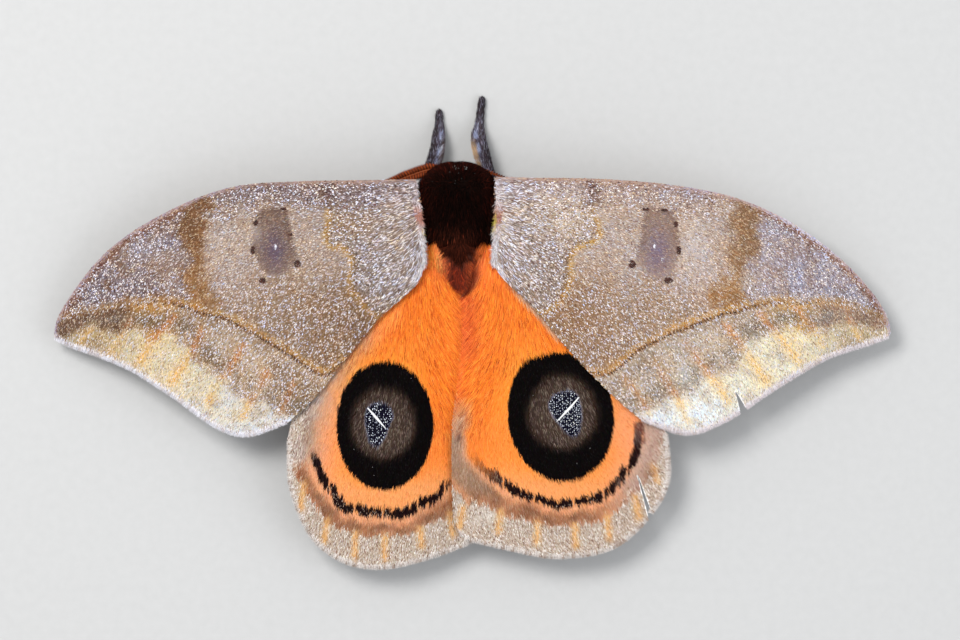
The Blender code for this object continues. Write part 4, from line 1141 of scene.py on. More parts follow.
def wing_scales(name, wing, kind, side, count, seed, tears, upper=True):
    rng = np.random.default_rng(seed)
    u, v = wing.scatter(count, rng)
    at = wing.sample(wing.at, u, v)
    normal = unit(wing.sample(wing.normal, u, v))
    way = unit(wing.sample(wing.along, u, v))
    px, py = plan_of(at[:, 0], at[:, 1])
    n = count
    chord = np.linalg.norm(np.diff(wing.at, axis=1), axis=-1).sum(axis=1)
    front = v * np.interp(u, np.linspace(0, 1, wing.nu + 1), chord)
    half = SKIN_HALF + 0.14 * np.exp(-((front / 0.4) ** 2))
    black = np.zeros(n, bool)
    if kind == "fore":
        # the markings' edges are mixed scale by scale
        mean, stray = forewing_top(px + rng.normal(0, 1.5, n), py + rng.normal(0, 1.5, n), side) if upper else forewing_under(px, py, side)
        colour, sort = scale_colours(mean, stray, rng)
        pale = sort == 1
        marked = sort != 0
        warmth = rng.normal(0, 0.035, n) + 0.05 * (noise(px, py, 19, 51) - 0.5) + 0.045 * (noise(px, py, 5, 52) - 0.5)
        colour = colour * (1 + warmth[:, None] * np.array([1.0, 0.1, -1.6]))
        # the frosted fields are dotted with short broad pale scales
        dotty = step(29, 36, stray) * step(60, 110, np.abs(px - 458))
        near = step(110, 30, np.abs(px - 458))
        length = rng.uniform(0.25, 0.44, n) * (1 + 0.55 * near) * np.where(marked, rng.uniform(0.55, 0.95, n) + 0.3 * near, 1.0) * (1 - 0.22 * dotty * np.where(marked, 1.0, 0.4))
        width = rng.uniform(0.078, 0.122, n) * np.where(pale, rng.uniform(1.05, 1.65, n), np.where(marked, 1.3, 1.0)) * (1 + 0.22 * dotty) * (1 - 0.30 * near)
        if not upper:
            length, width = length * 1.45, width * 1.5
        lean = 0.10 if side == "left" else -0.10
        spread = np.where(pale, 0.22, 0.16) * (1 - 0.3 * step(90, 20, np.abs(px - 458))) * (1 + 0.9 * step(26, 10, front / UNIT)) * step(1.0, 5.0, front / UNIT)
        lift = rng.uniform(0.02, 0.13, n)
        light = np.where(pale, rng.uniform(0.6, 1.0, n), np.where(marked, rng.uniform(0.3, 0.8, n), rng.uniform(0, 0.35, n)))
    else:
        jitter = rng.normal(0, 1.1, n)
        if upper:
            mean, stray, specks, streak = hindwing_top(px, py + jitter, side)
        else:
            mean, stray = hindwing_under(px, py, side)
            specks = streak = np.zeros(n)
        m = HIND_MARKS[side]
        (cx, cy), a, b = m["eye"]
        reach = np.sqrt(((px - cx) / a) ** 2 + ((py - cy) / b) ** 2)
        seam_x = np.interp(py, [290, 330, 395, 427, 545], [463, 466.5, 460, 453.5, 454])
        seam = np.abs(px - seam_x)
        hairy = np.zeros(n)
        if upper:
            hairy = np.maximum(step(430, 300, py) * step(0.95, 1.2, reach), step(50, 10, seam) * step(470, 400, py))
        hot = step(90, 190, mean[:, 0] - mean[:, 2])
        colour, sort = scale_colours(mean, stray, rng, white=(258, 247, 238), cream=mix(np.tile(np.array([250.0, 237, 222]), (n, 1)), (330, 196, 120), hot))
        pale = sort == 1
        marked = sort != 0
        grained = step(20, 34, stray)
        length = rng.uniform(0.42, 0.68, n) * (1 + 1.7 * hairy) * (1 - 0.42 * grained)
        width = rng.uniform(0.095, 0.15, n) * (1 - 0.15 * hairy) * (1 - 0.36 * grained) * np.where(grained > 0.3, np.where(pale, 1.5, np.where(marked, 1.3, 1.0)), 1.0)
        lift = rng.uniform(0.02, 0.12, n)
        lean = 0.0
        spread = 0.11
        light = np.where(marked & (grained > 0.3), rng.uniform(0.5, 1.0, n), rng.uniform(0, 0.5, n))
        # longer hair runs in streaks of lighter and darker orange, with thin deep ones between: painted shade for the
        # dark gaps between the hairs
        streaks = rng.normal(0, 0.085, n)
        colour = colour * (1 + hairy[:, None] * streaks[:, None] * np.array([0.6, 1.5, 1.8]))
        deep = (rng.random(n) < 0.055) & (hairy > 0.4) & (mean[:, 0] > 200)
        colour = np.where(deep[:, None], colour * np.array([0.84, 0.60, 0.50]), colour)
        width = np.where(deep, width * 0.55, width)
        light = np.where(deep, 1.0, light)
        if not upper:
            length, width = length * 1.3, width * 1.4
        if upper:
            inside = (specks > 0.5) | (streak > 0.5)
            colour[inside] = (15, 13, 34)
            black = (mean.max(axis=1) < 66) | inside
            toward = np.zeros((n, 3))
            toward[:, 0] = np.sign(seam_x - px)
            pull = np.exp(-seam / 46) * step(470, 380, py) * 1.15
            fan = np.zeros((n, 3))
            fan[:, 1] = -1
            way = unit(way + toward * pull[:, None] + fan * (0.25 * hairy)[:, None])
        colour = np.clip(colour, 2, 336)
    way = unit(way - normal * np.sum(way * normal, axis=1)[:, None])
    way = turned(way, normal, rng.normal(0, spread, n) + lean)
    thick = np.minimum(width, 0.14) * rng.uniform(0.16, 0.28, n)
    if not upper:
        normal = -normal
    root = at + normal * (half + 0.01 + 0.035 * light)[:, None] - way * (length * 0.35)[:, None]
    tip_at = root + way * length[:, None]
    keep = ~in_tear(at[:, 0], at[:, 1], tears, 0.05) & ~in_tear(tip_at[:, 0], tip_at[:, 1], tears, 0.02)
    reach_out = np.linalg.norm(np.diff(wing.at, axis=0), axis=-1).sum(axis=0)
    keep &= (1 - u) * np.interp(v, np.linspace(0, 1, wing.nv + 1), reach_out) > (0.30 if kind == "fore" else 0.22)
    root_lin = linear(colour * 0.90)
    tip_lin = linear(np.clip(colour * 1.05 + 3, 0, 338))
    uv = np.stack([u, v], axis=1)
    for label, chosen, material in (("", np.where(keep & ~black)[0], scale_mat if kind == "fore" else hind_mat), ("black", np.where(keep & black)[0], black_mat)):
        parts = math.ceil(len(chosen) / 49000)
        for k in range(parts):
            s = chosen[k::parts]
            vanes(f"{name}_{label or k + 1}", root[s], way[s], normal[s], length[s], width[s], thick[s], lift[s], root_lin[s], tip_lin[s], uv[s], material)
    if kind == "hind" and upper:
        eye_glints(name + "_glints", wing, side, seed)
        strand = np.where(keep & (hairy > 0.35) & (mean[:, 0] > 240) & (reach > 1.12) & (rng.random(n) < 0.05))[0]
        m_ = len(strand)
        dark = (rng.random(m_) < 0.66)[:, None]
        tone = np.where(dark, np.array([226.0, 78, 18]), np.array([296.0, 194, 96])) * (1 + rng.normal(0, 0.07, m_))[:, None]
        long = rng.uniform(0.8, 1.5, m_)
        hairs(name + "_strands", (root + normal * 0.045)[strand], way[strand] + normal[strand] * 0.03, -normal[strand] * 0.06 + way[strand] * 0, long, rng.uniform(0.04, 0.07, m_), linear(tone * 0.92), linear(tone), uv[strand], hind_mat)
    if kind == "fore" and upper:
        fore_dots(name + "_dots", wing, side, seed)


def laid_on(name, wing, gx, gy, colour, angle, length, width, raise_by):
    """Single small scales laid over the coat at given places of the plan."""
    x, y = mm_of(gx, gy)
    net = wing.at[:, :, :2].reshape(-1, 2)
    near = np.array([int(np.argmin((net[:, 0] - a) ** 2 + (net[:, 1] - b) ** 2)) for a, b in zip(x, y)])
    z = wing.at[:, :, 2].reshape(-1)[near]
    normal = unit(wing.normal.reshape(-1, 3)[near])
    z = z - (normal[:, 0] * (x - net[near, 0]) + normal[:, 1] * (y - net[near, 1])) / normal[:, 2]
    at = np.stack([x, y, z], axis=1)
    way = np.stack([np.cos(angle), np.sin(angle), np.zeros(len(x))], axis=1) if angle is not None else wing.along.reshape(-1, 3)[near]
    way = unit(way - normal * np.sum(way * normal, axis=1)[:, None])
    root = at + normal * (SKIN_HALF + raise_by)[:, None] - way * (length * 0.5)[:, None]
    uv = np.stack([(near // (wing.nv + 1)) / wing.nu, (near % (wing.nv + 1)) / wing.nv], axis=1)
    vanes(name, root, way, normal, length, width, np.full(len(x), 0.02), np.full(len(x), 0.03), linear(colour), linear(colour), uv, scale_mat)


def fore_dots(name, wing, side, seed):
    """The second line's dark dots, the dark specks round the spot in the cell, its white glints, and the red flecks."""
    rng = np.random.default_rng(seed + 70)
    m = FORE_MARKS[side]
    line = m["second_line"].at
    along = np.concatenate([[0], np.cumsum(np.linalg.norm(np.diff(line, axis=0), axis=1))])
    share = np.arange(0.20, 1.0, 3.3 / along[-1])
    share = share + rng.normal(0, 0.6 / along[-1], len(share))
    x = np.interp(share * along[-1], along, line[:, 0])
    y = np.interp(share * along[-1], along, line[:, 1])
    tx, ty = np.gradient(x), np.gradient(y)
    size = np.hypot(tx, ty)
    nx, ny = -ty / size, tx / size
    middle = np.array([(m["apex"][0] + m["tornus"][0]) / 2, 385.0])
    outward = np.sign(nx * (middle[0] - x) + ny * (middle[1] - y))
    nx, ny = nx * outward, ny * outward
    strength = np.interp(share, [0.2, 0.4, 0.56, 0.95, 1.0], [0.10, 0.45, 1.0, 1.0, 0.6])
    points, tones, lengths, widths, lifts = [], [], [], [], []
    for i in range(len(share)):
        for _ in range(3):
            if rng.random() > strength[i]:
                continue
            off = rng.uniform(0.2, 2.4)
            points.append((x[i] + nx[i] * off + rng.normal(0, 0.35), y[i] + ny[i] * off + rng.normal(0, 0.35)))
            tones.append(np.array([84.0, 50, 24]) * rng.uniform(0.5, 1.15))
            lengths.append(rng.uniform(0.22, 0.34))
            widths.append(rng.uniform(0.09, 0.14))
            lifts.append(rng.uniform(0.07, 0.10))
    for (dx, dy), wx, wy in m["dots"]:
        for _ in range(int(16 + 4.0 * wx * wy)):
            r, a = math.sqrt(rng.random()) * 1.05, rng.random() * TAU
            points.append((dx + wx * r * math.cos(a), dy + wy * r * math.sin(a)))
            tones.append(np.array([66.0, 32, 22]) * rng.uniform(0.5, 1.6))
            lengths.append(rng.uniform(0.18, 0.30))
            widths.append(rng.uniform(0.11, 0.17))
            lifts.append(rng.uniform(0.09, 0.15))
    for fx, fy in m["flecks"]:
        for _ in range(3):
            points.append((fx + rng.normal(0, 1.1), fy + rng.normal(0, 0.6)))
            tones.append(np.array([118.0, 34, 36]) * rng.uniform(0.7, 1.2))
            lengths.append(rng.uniform(0.16, 0.26))
            widths.append(rng.uniform(0.07, 0.11))
            lifts.append(rng.uniform(0.07, 0.11))
    for (dx, dy), wx, wy, much in m["glints"]:
        for _ in range(int(16 * much)):
            r, a = math.sqrt(rng.random()), rng.random() * TAU
            points.append((dx + wx * 0.5 * r * math.cos(a), dy + wy * 1.1 * r * math.sin(a)))
            tones.append(np.array([252.0, 250, 262]) * (0.72 + 0.28 * much))
            lengths.append(rng.uniform(0.16, 0.24))
            widths.append(rng.uniform(0.08, 0.12))
            lifts.append(rng.uniform(0.07, 0.11))
    points = np.array(points)
    laid_on(name, wing, points[:, 0], points[:, 1], np.clip(np.array(tones), 2, 270), None, np.array(lengths), np.array(widths), np.array(lifts))


def eye_glints(name, wing, side, seed):
    """White and dark specks in the middle of the eyespot, and the white bar across them."""
    rng = np.random.default_rng(seed + 50)
    m = HIND_MARKS[side]
    drop = np.array(m["drop"])
    low, high = drop.min(axis=0) - 1, drop.max(axis=0) + 1
    pitch = 2.05
    gx, gy = np.meshgrid(np.arange(low[0], high[0], pitch), np.arange(low[1], high[1], pitch))
    gx, gy = gx.ravel() + rng.uniform(-0.7, 0.7, gx.size), gy.ravel() + rng.uniform(-0.7, 0.7, gx.size)
    inside = m["drop_line"].field(gx, gy)[0] > 0.1
    gx, gy = gx[inside], gy[inside]
    bright = rng.random(len(gx)) < (0.66 if side == "left" else 0.80)
    tone = np.where(bright, rng.uniform(0.65, 1.35, len(gx)), 0.05)
    colour = np.array([228.0, 234, 250]) * tone[:, None]
    angle = rng.normal(0, 0.5, len(gx)) + np.pi / 2
    length, width = rng.uniform(0.12, 0.19, len(gx)), rng.uniform(0.10, 0.14, len(gx))
    # outline and bar
    rim = m["drop_line"].at[::1]
    edge = rim[rng.integers(0, len(rim), 90)] + rng.normal(0, 0.4, (90, 2))
    bar = through(m["bar"], 70)
    bar_way = np.arctan2(-(bar[-1] - bar[0])[1], (bar[-1] - bar[0])[0])
    t = np.linspace(0, 1, 70)
    fat = np.interp(t, [0, 0.2, 0.5, 0.8, 1], [0.16, 0.22, 0.34, 0.22, 0.12])
    strays = {"left": [(354, 449), (372.5, 467), (374, 475), (411, 378)], "right": [(533, 395), (590, 448), (577, 463)]}[side]
    gx = np.concatenate([gx, edge[:, 0], bar[:, 0], [p[0] for p in strays]])
    gy = np.concatenate([gy, edge[:, 1], bar[:, 1], [p[1] for p in strays]])
    colour = np.vstack([colour, np.tile(np.array([126.0, 130, 156]), (90, 1)) * rng.uniform(0.7, 1.2, (90, 1)), np.tile(np.array([250.0, 250, 252]), (70, 1)), np.tile(np.array([170.0, 170, 170]), (len(strays), 1))])
    length = np.concatenate([length, rng.uniform(0.12, 0.18, 90), np.full(70, 0.30), np.full(len(strays), 0.14)])
    width = np.concatenate([width, rng.uniform(0.06, 0.09, 90), fat, np.full(len(strays), 0.07)])
    angle = np.concatenate([angle, rng.uniform(0, np.pi, 90), np.full(70, bar_way) + rng.normal(0, 0.05, 70), np.full(len(strays), 1.5)])
    raise_by = np.concatenate([rng.uniform(0.08, 0.12, len(gx) - 70 - len(strays)), np.full(70, 0.15), np.full(len(strays), 0.12)])
    # pale flecks among the black line's hair
    arc = m["arc_line"].at
    pick = rng.integers(int(len(arc) * (0.20 if side == "left" else 0.34)), int(len(arc) * (0.62 if side == "left" else 0.80)), 60 if side == "left" else 34)
    gx = np.concatenate([gx, arc[pick, 0] + rng.normal(0, 1.2, len(pick))])
    gy = np.concatenate([gy, arc[pick, 1] + rng.normal(0, 2.4, len(pick))])
    colour = np.vstack([colour, np.tile(np.array([250.0, 214, 190]), (len(pick), 1)) * rng.uniform(0.6, 1.0, (len(pick), 1))])
    length = np.concatenate([length, rng.uniform(0.16, 0.34, len(pick))])
    width = np.concatenate([width, rng.uniform(0.05, 0.08, len(pick))])
    angle = np.concatenate([angle, rng.normal(np.pi / 2, 0.22, len(pick))])
    raise_by = np.concatenate([raise_by, rng.uniform(0.09, 0.13, len(pick))])
    laid_on(name, wing, gx, gy, colour, angle, length, width, raise_by)


def wing_fringe(name, wing, kind, side, seed, tears):
    """A dense fringe of paddle-like scales along the outer edge."""
    rng = np.random.default_rng(seed)
    outer = wing.at[-1]
    far = np.linalg.norm(np.diff(outer, axis=0), axis=1).sum()
    n = int(far * (60))
    v = np.clip((np.arange(n) + rng.random(n)) / n, 0, 1)
    u = np.full(n, 1.0)
    edge = wing.sample(wing.at, u, v)
    along = unit(np.gradient(outer, axis=0))
    tangent = unit(wing.sample(np.repeat(along[None], wing.nu + 1, axis=0), u, v))
    normal = unit(wing.sample(wing.normal, u - 0.004, v))
    out = unit(np.cross(tangent, normal))
    mid = wing.at[wing.nu // 2, wing.nv // 2]
    out = out * np.sign(np.sum(out * (edge - mid), axis=1))[:, None]
    length = rng.uniform(0.58, 0.88, n)
    width = rng.uniform(0.08, 0.13, n)
    layer = rng.uniform(-0.06, 0.15, n)
    way = unit(turned(out, normal, rng.normal(0, 0.16, n)))
    root = edge - way * (length * rng.uniform(0.66, 0.94, n))[:, None] + normal * layer[:, None]
    px, py = plan_of(edge[:, 0], edge[:, 1])
    if kind == "fore":
        mean = np.tile(np.array([262.0, 260, 268] if side == "left" else [254.0, 244, 248]), (n, 1))
        mean = mix(mean, (190, 164, 150), step(0.5, 0.85, noise(px, py, 2.4, 61)) * 0.3)
    else:
        mean = np.tile(np.array([246.0, 236, 230]), (n, 1))
        mean = mix(mean, (170, 140, 120), step(0.5, 0.8, noise(px, py, 2.4, 63)) * 0.6)
    colour = np.clip(mean + rng.normal(0, 11, n)[:, None], 2, 284)
    keep = ~in_tear(edge[:, 0], edge[:, 1], tears, 0.02)
    s = np.where(keep)[0]
    uv = np.stack([u, v], axis=1)
    vanes(name, root[s], way[s], normal[s], length[s], width[s], np.full(n, 0.03)[s], rng.uniform(-0.05, 0.05, n)[s], linear(colour * 0.92)[s], linear(colour)[s], uv[s], scale_mat)


def root_hair(name, wing, side, seed):
    """White hair along the forewing's root, rusty where the photo's is."""
    rng = np.random.default_rng(seed)
    n = int(1500 * DENSE)
    v = rng.random(n) ** 0.9
    u = rng.uniform(0.0, 1.0, n) ** 1.6 * 0.022
    at = wing.sample(wing.at, u, v)
    normal = unit(wing.sample(wing.normal, u, v))
    along = unit(wing.sample(wing.along, u, v))
    back = unit(wing.sample(np.gradient(wing.at, axis=1), u, np.clip(v, 0.02, 0.98)))
    px, py = plan_of(at[:, 0], at[:, 1])
    way = unit(back * 0.9 + along * rng.uniform(-0.75, 0.25, n)[:, None] + normal * rng.uniform(0.05, 0.22, n)[:, None])
    way = turned(way, normal, rng.normal(0, 0.25, n))
    length = rng.uniform(0.4, 0.8, n)
    width = rng.uniform(0.045, 0.08, n)
    colour = np.tile(np.array([248.0, 242, 250]), (n, 1))
    colour = mix(colour, (176, 150, 140), (rng.random(n) < 0.30) * 0.8)
    colour = mix(colour, (196, 176, 182), bell(py - 190, 12) * 0.6)
    colour = mix(colour, (176, 108, 88), bell(py - 216, 10) * 0.85)
    if side == "right":
        colour = mix(colour, (222, 208, 86), bell(py - 221, 8) * (u < 0.006) * (rng.random(n) < 0.8) * 0.95)
    else:
        colour = mix(colour, (214, 186, 108), bell(py - 232, 4) * (u < 0.006) * (rng.random(n) < 0.7) * 0.9)
    colour = colour * (1.14 + rng.normal(0, 0.17, n))[:, None]
    root = at + normal * (SKIN_HALF + 0.02)
    # dense along the rear half and at the rusty patch, sparse in front
    s = np.where(rng.random(n) < 0.16 + 0.84 * step(218, 236, py) + 0.6 * bell(py - 216, 9))[0]
    hairs(name, root[s], way[s], (-normal * 0.12)[s], length[s], width[s], linear(np.clip(colour * 0.9, 2, 290))[s], linear(np.clip(colour * 1.06, 2, 300))[s], np.stack([u, v], axis=1)[s], hair_mat)


wings = {}
TEARS = {"forewing_right": [FOREWING_TEAR], "hindwing_right": [HINDWING_TEAR]}
for seed, (wing_name, (edges, height, side, kind)) in enumerate(WINGS.items()):
    wing = Wing(edges, height, 170 if kind == "fore" else 116, 72 if kind == "fore" else 96, 0)
    wings[wing_name] = wing
    tears = TEARS.get(wing_name, [])
    if kind == "fore":
        wing_skin(wing_name + "_skin", wing, lambda x, y, s=side: forewing_top(x, y, s), lambda x, y, s=side: forewing_under(x, y, s), tears)
    else:
        wing_skin(wing_name + "_skin", wing, lambda x, y, s=side: hindwing_top(x, y, s)[:2], lambda x, y, s=side: hindwing_under(x, y, s), tears)
    upper_count = int((62000 if kind == "fore" else 44000) * DENSE)
    under_count = int((12500 if kind == "fore" else 8500) * DENSE)
    wing_scales(wing_name + "_scales", wing, kind, side, upper_count, 100 + seed, tears)
    wing_scales(wing_name + "_under", wing, kind, side, under_count, 200 + seed, tears, upper=False)
    wing_fringe(wing_name + "_fringe", wing, kind, side, 300 + seed, tears)
    if kind == "fore":
        root_hair(wing_name + "_root", wing, side, 350 + seed)

# ---------------------------------------------------------------- body

VOXEL = 0.15  # millimetres
THORAX_INSET = -0.46
COLLAR_INSET = -0.28  # the hair is shorter in front


def thorax_inset(s):
    return THORAX_INSET + (COLLAR_INSET - THORAX_INSET) * step(0.25, 0.7, np.asarray(s, float))


def thorax_reach(s):
    return THORAX_LENGTH / 2 + np.where(np.asarray(s) > 0, COLLAR_REACH + COLLAR_INSET, THORAX_INSET)


def thorax_section(s, grow=0.0):
    forward = np.maximum(s, 0) ** 3
    round_off = np.maximum(1 - np.minimum(np.abs(s), 1) ** np.where(np.asarray(s) > 0, COLLAR_FULLNESS, 2.7), 0) ** 0.5
    half_width = THORAX_WIDTH / 2 * (1 + 0.14 * s)
    half_height = THORAX_HEIGHT / 2 * (1 - 0.3 * forward)
    return (half_width + grow) * round_off, (half_height + grow) * round_off, THORAX_AXIS_Z + 0.45 * s + COLLAR_RISE * forward


def ring_mesh(rings, first, last):
    """Verts and triangles of a closed form from equal rings and its two end points."""
    count, around = len(rings), len(rings[0])
    verts = np.vstack(list(rings) + [first[None], last[None]])
    faces = []
    for i in range(count - 1):
        for k in range(around):
            j = (k + 1) % around
            a, b, c, d = i * around + k, i * around + j, (i + 1) * around + j, (i + 1) * around + k
            faces += [(a, b, c), (a, c, d)]
    for k in range(around):
        j = (k + 1) % around
        faces.append((count * around, j, k))
        faces.append((count * around + 1, (count - 1) * around + k, (count - 1) * around + j))
    faces = np.array(faces)
    a, b, c = verts[faces[:, 0]], verts[faces[:, 1]], verts[faces[:, 2]]
    if np.sum(a * np.cross(b, c)) < 0:
        faces = faces[:, ::-1]
    return verts, faces


def tube_form(line, wide, high=None, around=20):
    line = np.asarray(line, float)[:, :3]
    high = wide if high is None else high
    forward = unit(np.gradient(line, axis=0))
    side = unit(np.cross(forward, np.array([[0, 0, 1.0]])))
    up = np.cross(side, forward)
    angle = np.linspace(0, TAU, around, endpoint=False)
    rings = []
    for here, s, u, w, h in zip(line, side, up, wide, high):
        rings.append(here + np.cos(angle)[:, None] * s * w + np.sin(angle)[:, None] * u * h)
    return ring_mesh(rings, line[0] - forward[0] * wide[0] * 0.6, line[-1] + forward[-1] * wide[-1] * 0.8)


def ball_form(middle, radii, across=28, rings=18):
    angle = np.linspace(0, TAU, across, endpoint=False)
    rows = []
    for s in np.cos(np.linspace(0, np.pi, rings + 2))[1:-1]:
        r = math.sqrt(1 - s * s)
        rows.append(np.array(middle) + np.stack([np.cos(angle) * r, np.full(across, s), np.sin(angle) * r], axis=1) * np.array(radii))
    tip = np.array([0, 1, 0]) * radii[1]
    return ring_mesh(rows, np.array(middle) + tip, np.array(middle) - tip)


def rim_form(middle, facing, radius, thick, across=32, around=10):
    """A ring round a centre, facing a way: the lid of skin round an eye."""
    facing = unit(np.array(facing, float))
    a = unit(np.cross(facing, np.array([0, 0.2, 1.0])))
    b = np.cross(facing, a)
    verts, faces = [], []
    for i in range(across):
        t = TAU * i / across
        out = a * math.cos(t) + b * math.sin(t)
        for k in range(around):
            p = TAU * k / around
            verts.append(np.array(middle) + out * (radius + thick * math.cos(p)) + facing * thick * math.sin(p))
            j, m = (i + 1) % across, (k + 1) % around
            faces += [(i * around + k, j * around + k, j * around + m), (i * around + k, j * around + m, i * around + m)]
    return np.array(verts), np.array(faces)


forms = []
stations = np.cos(np.linspace(0, np.pi, 44))[1:-1]
angle = np.linspace(0, TAU, 56, endpoint=False)
rings = []
for s in stations:
    half_width, half_height, middle_z = thorax_section(s, thorax_inset(s))
    a, b = np.cos(angle), np.sin(angle)
    a, b = np.sign(a) * np.abs(a) ** 0.8, np.sign(b) * np.abs(b) ** 0.8
    rings.append(np.stack([AXIS_X + half_width * a, np.full(56, THORAX_MIDDLE_Y + thorax_reach(s) * s), middle_z + half_height * b], axis=1))
end, front_end = float(thorax_reach(-1)), float(thorax_reach(1))
forms.append(ring_mesh(rings, np.array([AXIS_X, THORAX_MIDDLE_Y + front_end, THORAX_AXIS_Z + 0.45 + COLLAR_RISE]), np.array([AXIS_X, THORAX_MIDDLE_Y - end, THORAX_AXIS_Z - 0.45])))

head_radii = HEAD_RADII - np.array([0.32, 0.38, 0.36])
forms.append(ball_form(HEAD_MIDDLE, head_radii))
forms.append(ball_form(HEAD_MIDDLE + np.array([0, 0.62, -0.55]), (1.25, 0.98, 1.25)))  # the bulge of the face
forms.append(ball_form(HEAD_MIDDLE + np.array([0, -1.3, 0.2]), (2.0, 1.5, 2.0)))  # neck
forms.append(ball_form(HEAD_MIDDLE + np.array([0, 0.95, -1.95]), (0.42, 0.4, 0.3)))  # mouthparts
EYES = {}
for side_name, sign in (("left", -1), ("right", 1)):
    eye = HEAD_MIDDLE + np.array([sign * EYE_SPREAD, 0.15, -0.2])
    EYES[side_name] = eye
    facing = np.array([sign, 0.1, 0.0])
    forms.append(rim_form(eye - unit(facing) * 0.22, facing, EYE_RADIUS * 0.98, 0.15))
    palp = np.array([(HEAD_MIDDLE[0] + sign * 0.5, HEAD_MIDDLE[1] + 0.35, 2.75), (HEAD_MIDDLE[0] + sign * 0.58, HEAD_MIDDLE[1] + 1.0, 2.2), (HEAD_MIDDLE[0] + sign * 0.62, HEAD_MIDDLE[1] + 1.6, 2.42)])
    forms.append(tube_form(through(palp, 16), np.linspace(0.26, 0.19, 16), around=14))
for path in ([(-2.5, 19.7, 6.3), (-2.85, 19.95, 7.1), (-3.15, 20.1, 7.7)], [(-1.05, 19.75, 6.3), (-0.75, 20.1, 7.1), (-0.45, 20.33, 7.65)]):
    forms.append(tube_form(through(path, 12), np.linspace(0.42, 0.24, 12), around=14))

# where the wings' roots swell into the thorax
for sign in (-1, 1):
    forms.append(ball_form((AXIS_X + sign * 3.5, 15.0, 8.72), (1.95 if sign < 0 else 1.75, 3.7, 0.42)))
    forms.append(ball_form((AXIS_X + sign * 1.75, 10.2, 7.75), (2.5, 2.2, 0.4)))
    forms.append(ball_form((AXIS_X + sign * 3.0, 13.4, 3.3), (1.5, 4.2, 1.3)))  # the legs' first joints

front = THORAX_MIDDLE_Y - THORAX_LENGTH / 2 + 2.0
abdomen_line = through([(AXIS_X, front, 3.75), (AXIS_X + 0.05, front - 0.35 * ABDOMEN_LENGTH, 3.5), (AXIS_X + 0.15, front - 0.7 * ABDOMEN_LENGTH, 2.9), (AXIS_X + 0.2, front - ABDOMEN_LENGTH, 2.1)], 90)
t = np.linspace(0, 1, 90)
taper = (0.72 + 0.5 * t - 0.22 * t * t) * (1 - 0.62 * t**2.2) * (1 - np.abs(2 * t - 1) ** 6) ** 0.5
fold = 1 - 0.075 * np.exp(-((((t * 8.5) % 1) - 0.5) / 0.16) ** 2)
wide = np.maximum((ABDOMEN_WIDTH / 2 * taper - 0.42 * (1 - 0.3 * t)) * fold, 0.1)
high = np.maximum((ABDOMEN_HEIGHT / 2 * taper - 0.42 * (1 - 0.3 * t)) * fold, 0.1)
forms.append(tube_form(abdomen_line[1:-1], wide[1:-1], high[1:-1], around=48))

tuft_front = THORAX_MIDDLE_Y - THORAX_LENGTH / 2 + 1.6
tuft_line = through([(AXIS_X, tuft_front, 9.75), (AXIS_X + 0.1, tuft_front - TUFT_LENGTH / 2, 9.45), (AXIS_X + 0.35, tuft_front - TUFT_LENGTH * 0.9, 8.95)], 40)
t = np.linspace(0, 1, 40)
forms.append(tube_form(tuft_line, 1.75 - 1.15 * t, 0.42 - 0.30 * t, around=24))

LEG_LINES = {}
for leg_name, path in LEGS.items():
    line = through(path, 48)
    thick, thin = (0.12, 0.03) if leg_name.startswith("fore") else (0.24, 0.16)
    radius = np.maximum(line[:, 3] - thick * step(0.45, 0.75, line[:, 3]) - thin * step(0.75, 0.45, line[:, 3]), 0.17)
    line[:, 2] -= (line[:, 3] - radius - 0.02) * step(0.75, 0.4, line[:, 2])
    line[:, 2] = np.maximum(line[:, 2], radius - 0.03)
    beads = 1 + 0.10 * np.sin(np.linspace(0, 1, 48) * TAU * 13) * step(0.75, 0.4, line[:, 2])
    LEG_LINES[leg_name] = (line, radius)
    forms.append(tube_form(line, radius * beads, around=16))

verts, faces, start = [], [], 0
for v, f in forms:
    verts.append(v)
    faces.append(f + start)
    start += len(v)
rough = mesh_from("body_rough", np.vstack(verts), np.vstack(faces), True)
rough_object = bpy.data.objects.new("body_rough", rough)
bpy.context.scene.collection.objects.link(rough_object)
remesh = rough_object.modifiers.new("whole", "REMESH")
remesh.mode = "VOXEL"
remesh.voxel_size = VOXEL
relax = rough_object.modifiers.new("relax", "SMOOTH")
relax.factor = 0.5
relax.iterations = 3
made = rough_object.modifiers.new("triangles", "TRIANGULATE")
bpy.context.view_layer.update()
body_mesh = bpy.data.meshes.new_from_object(rough_object.evaluated_get(bpy.context.evaluated_depsgraph_get()))
body_mesh.name = "body_skin"
bpy.data.objects.remove(rough_object)
count = len(body_mesh.vertices)
at = np.empty(count * 3, np.float32)
body_mesh.vertices.foreach_get("co", at)
at = at.reshape(-1, 3).astype(float)
normals = np.empty(count * 3, np.float32)
body_mesh.vertices.foreach_get("normal", normals)
normals = normals.reshape(-1, 3).astype(float)
tri = np.empty(len(body_mesh.loops), np.int32)
body_mesh.loops.foreach_get("vertex_index", tri)
tri = tri.reshape(-1, 3)


def nearest_on(p, line):
    best, where = np.full(len(p), 1e9), np.zeros(len(p), int)
    for i in range(len(line)):
        d = ((p - line[i, :3]) ** 2).sum(axis=1)
        closer = d < best
        best = np.where(closer, d, best)
        where[closer] = i
    return np.sqrt(best), where


